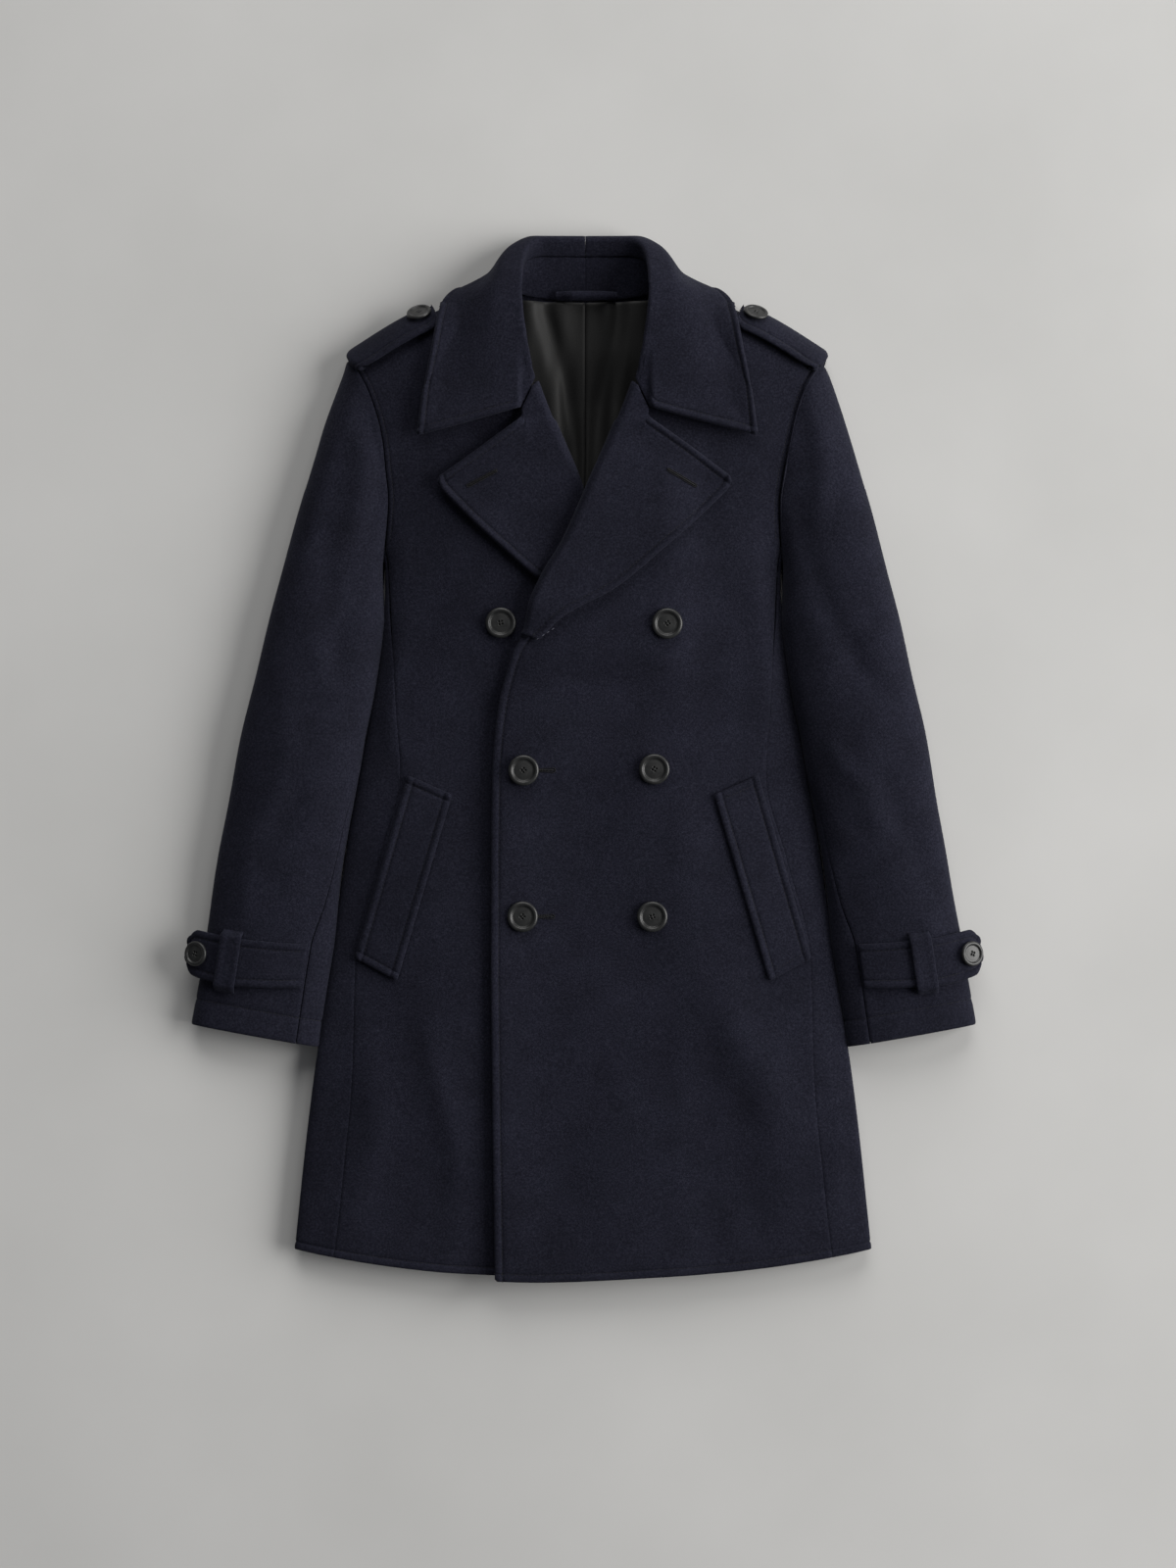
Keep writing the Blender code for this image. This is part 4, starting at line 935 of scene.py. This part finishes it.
# Collar, from its front end to the centre back, along six lines
COLLAR = {
    "neck": [(49, 366, 47), (62, 395, 47), (72, 425, 46), (76, 440, 40), (77, 449, 32), (72, 452, 21),
             (60, 448.5, 11.5), (36, 444.6, 8.6), (0, 442.4, 8)],
    "stand": [(49.5, 366.5, 50), (58, 392, 52), (64, 425, 52), (65, 447, 50), (64, 461, 45), (61, 473, 35),
              (55, 482, 25), (38, 485.5, 18.5), (0, 485.5, 16)],
    "roll": [(47.5, 366, 53), (53.5, 391, 57), (59.5, 425, 58), (61, 450, 56), (60.5, 466, 51),
             (59, 480, 42), (54.5, 493, 33), (39, 501, 25), (0, 501, 23)],
    "crest": [(62, 337, 51), (86, 376, 56), (86, 418, 57), (85, 448, 54), (82, 464, 48), (78, 482, 36),
              (67, 496.5, 23), (48, 504.1, 14), (0, 504.1, 12)],
    "brow": [(113, 322.5, 49), (125, 362, 51), (122, 405, 49), (115, 444, 38), (100, 461.5, 24),
             (90, 472.5, 7), (75, 489, 2), (47, 500.5, 0.6), (0, 500.5, 0.4)],
    "edge": [(163.5, 309.5, 46), (158.5, 343, 46), (149.5, 393, 40), (137, 437, 27), (121, 448, 15),
             (105, 441, 0.3), (80, 429, 0), (40, 425.5, 0), (0, 425, 0)],
}
FALL_ACROSS = {"stand": 0, "roll": 0.14, "crest": 0.36, "brow": 0.66, "edge": 1}
NOTCH_REACH = 0.12     # the collar's front end has a corner at the notch, which fades out by here
STAND_SEAM_GAP = 1.3   # the stand's wall tilts towards the fall's at their seam
FALL_SPRING = 2.5      # the fall springs up this much off the front towards the shoulder
LOOP_ENDS = (-29, 31)  # x of the hanger loop's ends
LOOP_SIDES = (442.5, 451.5)    # y of its sides
LOOP_ARCH = 7.5        # how high it arches off the stand
LOOP_ROUND = 0.7       # and how round its section is


def guide(name, v):
    """One of the collar's lines, at a share v of the way from its front end to the centre back."""
    points = np.array(COLLAR[name], float)
    stations = np.linspace(0, 1, len(points))
    return [smooth(v, stations, points[:, i]) for i in range(3)]


def collar(lines):
    """A surface through the named collar lines, from the collar's front end to the centre back."""
    def surface(u, v):
        u, v = np.broadcast_arrays(u, v)
        guides = np.array([guide(name, v) for name in lines])
        shares = list(lines.values())
        x, y, z = [smooth(u, shares, guides[:, i]) for i in range(3)]
        corner = shares[-3]
        to_corner = (u - shares[-4]) / (corner - shares[-4])
        leaf = [np.where(u < corner, blend(guides[-4, i], guides[-3, i], to_corner),
                         smooth(u, shares[-3:], guides[-3:, i])) for i in (0, 1)]
        sharp = (u > shares[-4]) * step(v, NOTCH_REACH, 0)
        x, y = blend(x, leaf[0], sharp), blend(y, leaf[1], sharp)
        spring = FALL_SPRING * step(shoulder("y", x) - y, 50, 15)
        rest = front_top(x, y, 1) + DOUBLE_CLOTH + SOFT_GAP + spring
        on_front = (y < shoulder("y", x) - 2) & (z > 25) & (x > 60)
        z = np.where(on_front, np.maximum(z, rest), z)
        return point(x + SEAM_GAP, y, z)
    return surface


def lapel(side):
    """A lapel on its front: u is 0 at the roll and 1 at the edge; below 0 it rolls over the front's edge."""
    stations = np.linspace(0, 1, 12)
    roll_y = blend(LAPEL_TOP_Y, LAPEL_BREAK_Y, stations)
    puffs = ROLL_PUFF * (1 - stations ** 3)
    if side < 0:
        puffs = puffs * (1 - step(stations, *RIGHT_PUFF))
    radii = (CLOTH + SOFT_GAP + DOUBLE_CLOTH + puffs) / 2
    inner = np.column_stack([body("edge", roll_y) + radii, roll_y])
    gorge = collar(FALL_ACROSS)(np.linspace(FALL_ACROSS["roll"], FALL_ACROSS["crest"], 5), 0.0)[2:, :2]
    top = [tuple(inner[0])] + [tuple(place) for place in gorge - GORGE_GAP] + [LAPEL_CORNER, LAPEL_LOWER[0]]
    bottom = [tuple(inner[-1]), LAPEL_LOWER[-1]]
    corners = [top[0], top[-1], bottom[0], bottom[-1]]

    def surface(u, v):
        share = np.clip(u, 0, 1)
        tops, bottoms = along(top, share, False), along(bottom, share, False)
        inners, outers = along(inner, v), along(LAPEL_LOWER, v)
        weights = [(1 - share) * (1 - v), share * (1 - v), (1 - share) * v, share * v]
        x, y = [blend(tops[i], bottoms[i], v) + blend(inners[i], outers[i], share)
                - sum(w * c[i] for w, c in zip(weights, corners)) for i in (0, 1)]
        puff = smooth(v, stations, puffs) * (1 - share) ** 1.5
        radius = smooth(v, stations, radii)
        high = front_top(x, y, side) + DOUBLE_CLOTH + SOFT_GAP + puff
        angle = math.pi / 2 - (math.pi / 2 + ROLL_UNDER) * np.clip(-u, 0, 1)
        x = x - SEAM_GAP - radius * np.where(u < 0, np.cos(angle), 0)
        y = y - SEAM_GAP + ROLL_END_RISE * np.clip(-2 * u, 0, 1) * (1 - v) ** 12
        z = high - radius * np.where(u < 0, 1 - np.sin(angle), 0)
        return point(x, y, z)
    return surface


def collar_stand(u, v):
    """The stand, from the neck seam up to the seam of the fall."""
    neck, top = [point(*guide(name, v)) for name in ("neck", "stand")]
    height = np.linalg.norm(top - neck, axis=-1)
    share = blend(SEAM_GAP / height, 1 - STAND_SEAM_GAP / height, u)
    return blend(neck, top, share[..., None])


def gorge(points):
    """1 where collar and lapel are sewn to each other, between the roll and the notch."""
    x, y = points[..., 0], points[..., 1]
    return step(x, 65, 60) * step(y, 322, 328) * step(y, 400, 380)


def lifted(high, near, edges, side):
    """A layer stands off the cloth below along its free edges, unless the other front covers it."""
    def bumps(points, fars):
        far = np.minimum.reduce([fars[edge] for edge in edges])
        bare = step(points[..., 0] + body("edge", points[..., 1]), -2, 10) if side < 0 else 1
        upper = step(points[..., 2], 4, 16)
        return blend(RESTING, high, np.exp(-(far / near) ** 2)) * (1 - gorge(points)) * bare * upper
    return bumps


def run_out(surface):
    """The lapel's lower end runs into the front's edge."""
    def shape(u, v):
        points = surface(u, v)
        end = step(v, 0.84, 1)
        points[..., 0] += LAPEL_END[0] * end
        points[..., 2] -= LAPEL_END[1] * end
        return points
    return shape


for name, side in SIDES:
    # Each part's surface, edges, ranges of u and v, rim, lift, cut and lines of topstitching
    for part, shape, edges, us, vs, rim, lift, cut, lines in (
            ("lapel", run_out(lapel(side)), ("bagged", "turned", "bagged", "turned"), (-1, 1), (1, 0), 1.3,
             lifted(4.2, 15, (1, 3), side), (0.17, 0.3, 0.03),
             (("right", 5, 8, 0), ("high", 14, 8, NOTCH_X))),
            ("collar_stand", collar_stand, ("sewn", "sewn", "bagged", "sewn"), (0, 1), (0, 1), 0.2,
             None, (0.035, 0.16, None), ()),
            ("collar_fall", collar(FALL_ACROSS), ("sewn", "turned", "turned", "sewn"), (0, 1), (0, 1), 1.3,
             lifted(5.5, 18, (1, 2), 1), (0.13, 0.33, 0.03),
             (("right", 8, 0, 0), ("low", 8, 8, NOTCH_X)))):
        piece, outer = cloth(f"{part}_{name}_cloth", shape, edges, MELTON, side, pitch=3.0,
                             wall=DOUBLE_CLOTH + (FREE_WALL if lift else 0), us=us, vs=vs, seam=0.3, rim=rim,
                             corner=4.5, bumps=lift, joined=gorge if lift else None)
        if lines:
            topstitch(f"{part}_{name}_stitching",
                      [line_in(outer, edges, edge, side, *ends) for edge, *ends in lines])
        if part == "lapel":
            buttonhole(f"lapel_{name}_buttonhole", outer, side, *LAPEL_HOLES[side], 1.5)
        if side > 0 and part == "lapel":
            # The tack's stitches are real, but their pale colour is a painted highlight, standing in for
            # light on the small pucker at the lapel's lower end
            tack = [on_cloth(outer, side, *blend(*np.array(BREAK_TACK), share), 0.2)
                    for share in np.linspace(0, 1, 6)]
            pale = thread_colour("tack thread with painted highlight", (0.09, 0.09, 0.12))
            topstitch("break_tack", [tack], 0.0042, 0.0030, 0.0008, pale)


def hanger_loop(u, v):
    """The loop at the back neck: a flattened tube, sewn down at both ends."""
    x = blend(*LOOP_ENDS, u)
    y = blend(*LOOP_SIDES, v)
    arch = LOOP_ARCH * step(u, 0.02, 0.3) * step(u, 0.98, 0.7)
    neck, top = COLLAR["neck"][-1], COLLAR["stand"][-1]
    slope = (top[2] - neck[2]) / (top[1] - neck[1])
    seam = neck[2] + slope * (y - neck[1]) + SOFT_GAP + DOUBLE_CLOTH
    return point(x, y, seam + arch + LOOP_ROUND * np.sin(v * math.pi))


def loop_bumps(points, fars):
    """The loop is a tube, so its back is round."""
    across = np.clip(fars[2] / (fars[2] + fars[3]), 0, 1)
    return 2.8 * np.sin(across * math.pi) ** 0.6


piece, outer = cloth("hanger_loop_cloth", hanger_loop, ("bagged",) * 4, MELTON, wall=DOUBLE_CLOTH, pitch=1.5,
                     bumps=loop_bumps, rim=0)


# ------------------------------------------------------------ shoulder and cuff straps
# Straps of doubled melton. The shoulder straps fold under at the armhole and button by the collar; the cuff
# straps are sewn in at the sleeve's seam, run under a keeper and button at the point.

SHOULDER_RISE = 24     # about how high the shoulder's rounding climbs
EPAULETTE_WIDTH = 37           # the shoulder strap's
EPAULETTE_ENDS = (147, 226)    # x of its rounded end and of its fold at the armhole
EPAULETTE_MIDDLE = 0.25        # where its middle lies on the shoulder's curve
EPAULETTE_FOLD = 4.3           # radius of the fold at its outer end
EPAULETTE_OUT = 5              # the fold reaches this far out
EPAULETTE_BOW = 7              # the fold's ends curve back by this much
EPAULETTE_LIFT = (5, 1.3)      # how high it springs off the shoulder along it, and at its ends
# The cuff strap along the sleeve's turn: its sides' places between armhole and cuff, and how high it stands
CUFF_STRAP = table("turn low high lift",
                   (0.29, 0.883, 0.792, 0), (0.5, 0.897, 0.802, 0.2), (0.7, 0.906, 0.808, 0.8),
                   (0.82, 0.903, 0.807, 2.6), (0.92, 0.898, 0.806, 8), (0.99, 0.866, 0.826, 13.5))
KEEPER_TURNS = {1: (0.55, 0.66), -1: (0.63, 0.75)}     # where each side's keeper starts and ends
KEEPER_REACH = 7       # the keeper runs this far past the strap on either side


def off_shoulder(x, across, lift):
    """Points off the shoulder's rounded edge, 'across' along its curve from the strap's middle."""
    low = shoulder("height", x)
    edge = point(x, shoulder("y", x), low)
    crown = edge + INWARD * SHOULDER_ROUND
    rise = body_top(crown[..., 0], crown[..., 1]) - low
    angles = np.linspace(0, math.pi / 2, 41)
    steps = np.hypot(np.diff(SHOULDER_ROUND * np.cos(angles)), np.diff(SHOULDER_RISE * np.sin(angles)))
    arc = np.concatenate([[0], np.cumsum(steps)])
    wanted = EPAULETTE_MIDDLE * arc[-1] + across
    angle = np.interp(wanted, arc, angles)
    place = edge + INWARD * (SHOULDER_ROUND * (1 - np.cos(angle)))[..., None]
    place[..., 2] = low + rise * np.sin(angle) + np.minimum(wanted, 0)
    out = -INWARD * (rise * np.cos(angle))[..., None]
    out[..., 2] = SHOULDER_ROUND * np.sin(angle)
    return place + out / np.linalg.norm(out, axis=-1, keepdims=True) * np.asarray(lift)[..., None]


def epaulette(u, v):
    """A shoulder strap, from its rounded end by the collar to the armhole at 1, then folded under."""
    start, end = EPAULETTE_ENDS
    rounded = 0.45 + 0.55 * np.sqrt(1 - (1 - np.clip(u / 0.16, 0, 1)) ** 2)
    narrowing = 1 - 0.1 * step(u, 0.8, 1.2)
    across = (0.5 - v) * EPAULETTE_WIDTH * rounded * narrowing
    fold = np.clip(u - 1, 0, 1) * math.pi
    bow = EPAULETTE_BOW * np.abs(2 * v - 1) ** 2.5 * step(u, 0.5, 1)
    x = blend(start, end, np.minimum(u, 1)) + EPAULETTE_OUT * np.sin(fold) - bow
    spring = blend(EPAULETTE_LIFT[1], EPAULETTE_LIFT[0], step(u, 0, 0.3))
    flat, high = DOUBLE_CLOTH + REST_GAP + spring, REST_GAP + 2 * EPAULETTE_FOLD
    lift = blend(flat, high, step(u, 0.5, 1)) - EPAULETTE_FOLD * (1 - np.cos(fold))
    return off_shoulder(x, across, lift)


def outward(surface, u, v):
    """Unit normals of a surface, from points close by."""
    small = 0.008
    across = surface(u + small, v) - surface(u - small, v)
    out = np.cross(across, surface(u, v + small) - surface(u, v - small))
    return out / np.linalg.norm(out, axis=-1, keepdims=True)


def off_sleeve(side, at, turn, lift):
    """Points moved out from the sleeve along its normals."""
    out = outward(lambda round_it, up: sleeve_at(side, -up, round_it), turn, -at)
    return sleeve_at(side, at, turn) + out * np.asarray(lift)[..., None]


def strap_row(name, turn):
    return read(CUFF_STRAP, name, turn)


def cuff_strap(side):
    """The strap round the cuff, sewn in the sleeve's front seam, with a pointed free end."""
    def surface(u, v):
        turn = blend(CUFF_STRAP["turn"][0], CUFF_STRAP["turn"][-1], u)
        at = blend(strap_row("low", turn), strap_row("high", turn), v)
        return off_sleeve(side, at, turn, DOUBLE_CLOTH + REST_GAP + strap_row("lift", turn))
    return surface


def strap_keeper(side):
    """A keeper: down on the sleeve at both ends, and over the strap between them."""
    def surface(u, v):
        turn = blend(*KEEPER_TURNS[side], u)
        low, high = strap_row("low", turn), strap_row("high", turn)
        width = np.linalg.norm(sleeve_at(side, low, turn) - sleeve_at(side, high, turn), axis=-1)
        reach = KEEPER_REACH * (low - high) / width
        over = step(v, 0, 0.1) * step(v, 1, 0.9) * (DOUBLE_CLOTH + REST_GAP + strap_row("lift", turn) + 0.5)
        return off_sleeve(side, blend(low + reach, high - reach, v), turn, CLOTH + REST_GAP + over)
    return surface


for name, side in SIDES:
    # Each part's surface, edges, range of u, wall and cut
    for part, shape, edges, us, wall, cut in (
            ("epaulette", epaulette, ("bagged", "bagged", "turned", "turned"), (0, 2), DOUBLE_CLOTH,
             (0.11, 0.045)),
            ("cuff_strap", cuff_strap(side), ("sewn", "turned", "turned", "turned"), (0, 1), DOUBLE_CLOTH,
             (0.13, 0.045)),
            ("strap_keeper", strap_keeper(side), ("bagged", "bagged", "sewn", "sewn"), (0, 1), CLOTH * 0.8,
             (0.018, 0.075))):
        piece, outer = cloth(f"{part}_{name}_cloth", shape, edges, MELTON, side, wall=wall, pitch=2.5,
                             us=us, rim=0.6, corner=1.5)
        if part != "strap_keeper":
            topstitch(f"{part}_{name}_stitching",
                      [line_in(outer, edges, edge, side, 6, 8) for edge in ("low", "high")])


# ------------------------------------------------------------ buttons
# Ten turned buttons of charcoal horn, with a raised rim, a groove and four sunk holes. The six on the fronts
# are larger than the four on the straps.

# The front's rows of buttons from the top, the right one and the left one; their diameters
FRONT_BUTTONS = [((-79, 130.6), (80.8, 129.7)), ((-57, -11), (68.4, -10)), ((-58, -151.5), (66.5, -151.5))]
FRONT_BUTTON, SMALL_BUTTON = 29.5, 24
BUTTON_STAND = 1.2     # they stand this far off the cloth on their thread
SHOULDER_BUTTON, CUFF_BUTTON = (0.17, 0.5), (0.87, 0.5)    # u and v on their straps
HORN = material_of("charcoal horn",
                   speckled(0.38, 0.5, 160, 4, (0.011, 0.0115, 0.0118), (0.024, 0.0245, 0.0245)))
# A button's section, as shares of its radius
PROFILE = table("radius height", (0, 0.235), (0.12, 0.225), (0.3, 0.205), (0.5, 0.185), (0.6, 0.17),
                (0.67, 0.18), (0.73, 0.25), (0.8, 0.295), (0.86, 0.3), (0.93, 0.275), (0.98, 0.23),
                (1, 0.18))
HOLE_OFF, HOLE_RADIUS, HOLE_DEPTH = 1.9, 0.95, 1.6     # the holes lie this far off its middle


def button(name, node, diameter, spot, normal, turn):
    """A button as two discs of rings, its holes sunk into the upper one."""
    radius = diameter / 2
    rings = np.concatenate([np.arange(0.25, 4.5, 0.35), np.linspace(4.8, radius, 24)])
    angles = np.linspace(0, 2 * math.pi, 64, endpoint=False)
    far, angle = np.meshgrid(rings, angles, indexing="ij")
    x, y = far * np.cos(angle), far * np.sin(angle)
    z = read(PROFILE, "height", far / radius) * radius
    for quarter in range(4):
        around = math.pi / 4 + quarter * math.pi / 2
        off = np.hypot(x - HOLE_OFF * math.cos(around), y - HOLE_OFF * math.sin(around))
        z = z - HOLE_DEPTH * step(off, HOLE_RADIUS * 1.25, HOLE_RADIUS * 0.75)
    under = np.where(far < radius * 0.8, 0, 0.1 * radius * step(far / radius, 0.8, 1))
    points = np.concatenate([np.stack([x, y, height], -1).reshape(-1, 3) for height in (z, under)])
    index = np.arange(x.size).reshape(x.shape)
    following = np.roll(index, -1, 1)
    top = np.stack([index[:-1], index[1:], following[1:], following[:-1]], -1).reshape(-1, 4)
    edge = np.stack([index[-1], index[-1] + x.size, following[-1] + x.size, following[-1]], -1)
    faces = np.concatenate([top, top[:, ::-1] + x.size, edge]).tolist()
    faces += [index[0].tolist(), (index[0][::-1] + x.size).tolist()]
    out = np.array(normal, float)
    out /= np.linalg.norm(out)
    along_x = np.cross((math.sin(turn), math.cos(turn), 0), out)
    along_x /= np.linalg.norm(along_x)
    axes = np.stack([along_x, np.cross(out, along_x), out])
    piece = solid(name, (points @ axes + np.array(spot) + out * BUTTON_STAND) * MM, faces, HORN)
    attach(piece, "root")
    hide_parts(node)


for row, spots in enumerate(FRONT_BUTTONS):
    for hand, (x, y) in zip(("right", "left"), spots):
        side = -1 if (hand, row) == ("right", 0) else 1    # all but this one are on the left front
        node = f"front_button_{hand}_{row + 1}"
        high = front_top(np.array(x * side), np.array(y), side)
        button(node + "_horn", node, FRONT_BUTTON, (x, y, float(high)), (0, 0, 1), 0.3 + row + x)
for name, side in SIDES:
    for part, surface, where in (("shoulder_button", epaulette, SHOULDER_BUTTON),
                                 ("cuff_button", cuff_strap(side), CUFF_BUTTON)):
        spot, normal = surface(*where), outward(surface, *where)
        spot = spot * (side, 1, 1) + (off_middle(spot[0], spot[1]), 0, 0)
        button(f"{part}_{name}_horn", f"{part}_{name}", SMALL_BUTTON, spot, normal * (side, 1, 1), 0.4)


# ------------------------------------------------------------ plaster, light and camera
# Smooth pale plaster under two large soft lamps, one towards the picture's right side and one towards its
# top. The camera looks straight down.

FLOOR_HALF, FLOOR_DROP = 30, 0.0004        # in metres, as are the lamps and the camera
LAMPS = table("x y z size power", (5.6, 0.4, 2.8, 5.4, 500), (0.4, 6.8, 4.0, 6.4, 325))
ROOM_LIGHT = 0.11
CAMERA_HEIGHT, VIEW_HEIGHT, SENSOR = 4.2, 1.5125, 36
VIEW_MIDDLE = (0.0048, -0.0242, 0.02)      # the picture is framed round this point

floor_mesh = bpy.data.meshes.new("plaster_floor")
corners = [(x * FLOOR_HALF, y * FLOOR_HALF, -FLOOR_DROP) for x, y in ((-1, -1), (1, -1), (1, 1), (-1, 1))]
floor_mesh.from_pydata(corners, [], [(0, 1, 2, 3)])
plaster = speckled(0.75, 0.2, 3.0, 6, (0.60, 0.598, 0.585), (0.66, 0.657, 0.645))
floor_mesh.materials.append(material_of("pale plaster", plaster))
put("plaster_floor", floor_mesh)

for *spot, size, power in zip(*LAMPS.values()):
    lamp = bpy.data.lights.new("softbox", "AREA")
    lamp.shape, lamp.size, lamp.energy = "DISK", size, power
    lamp.color = (1.0, 0.99, 0.975)
    softbox = put("softbox", lamp)
    softbox.location = spot
    softbox.rotation_euler = (-softbox.location).to_track_quat("-Z", "Y").to_euler()

world = bpy.data.worlds.new("room")
world.use_nodes = True
room = {"Color": (0.93, 0.95, 1.0, 1), "Strength": ROOM_LIGHT}
fill(world.node_tree, world.node_tree.nodes["Background"], room)
bpy.context.scene.world = world
bpy.context.scene.view_settings.view_transform = "Standard"

lens = bpy.data.cameras.new("camera")
lens.sensor_fit, lens.sensor_height, lens.sensor_width = "VERTICAL", SENSOR, SENSOR
lens.lens = SENSOR * CAMERA_HEIGHT / VIEW_HEIGHT
camera = put("camera", lens)
camera.location = (*VIEW_MIDDLE[:2], VIEW_MIDDLE[2] + CAMERA_HEIGHT)
bpy.context.scene.camera = camera
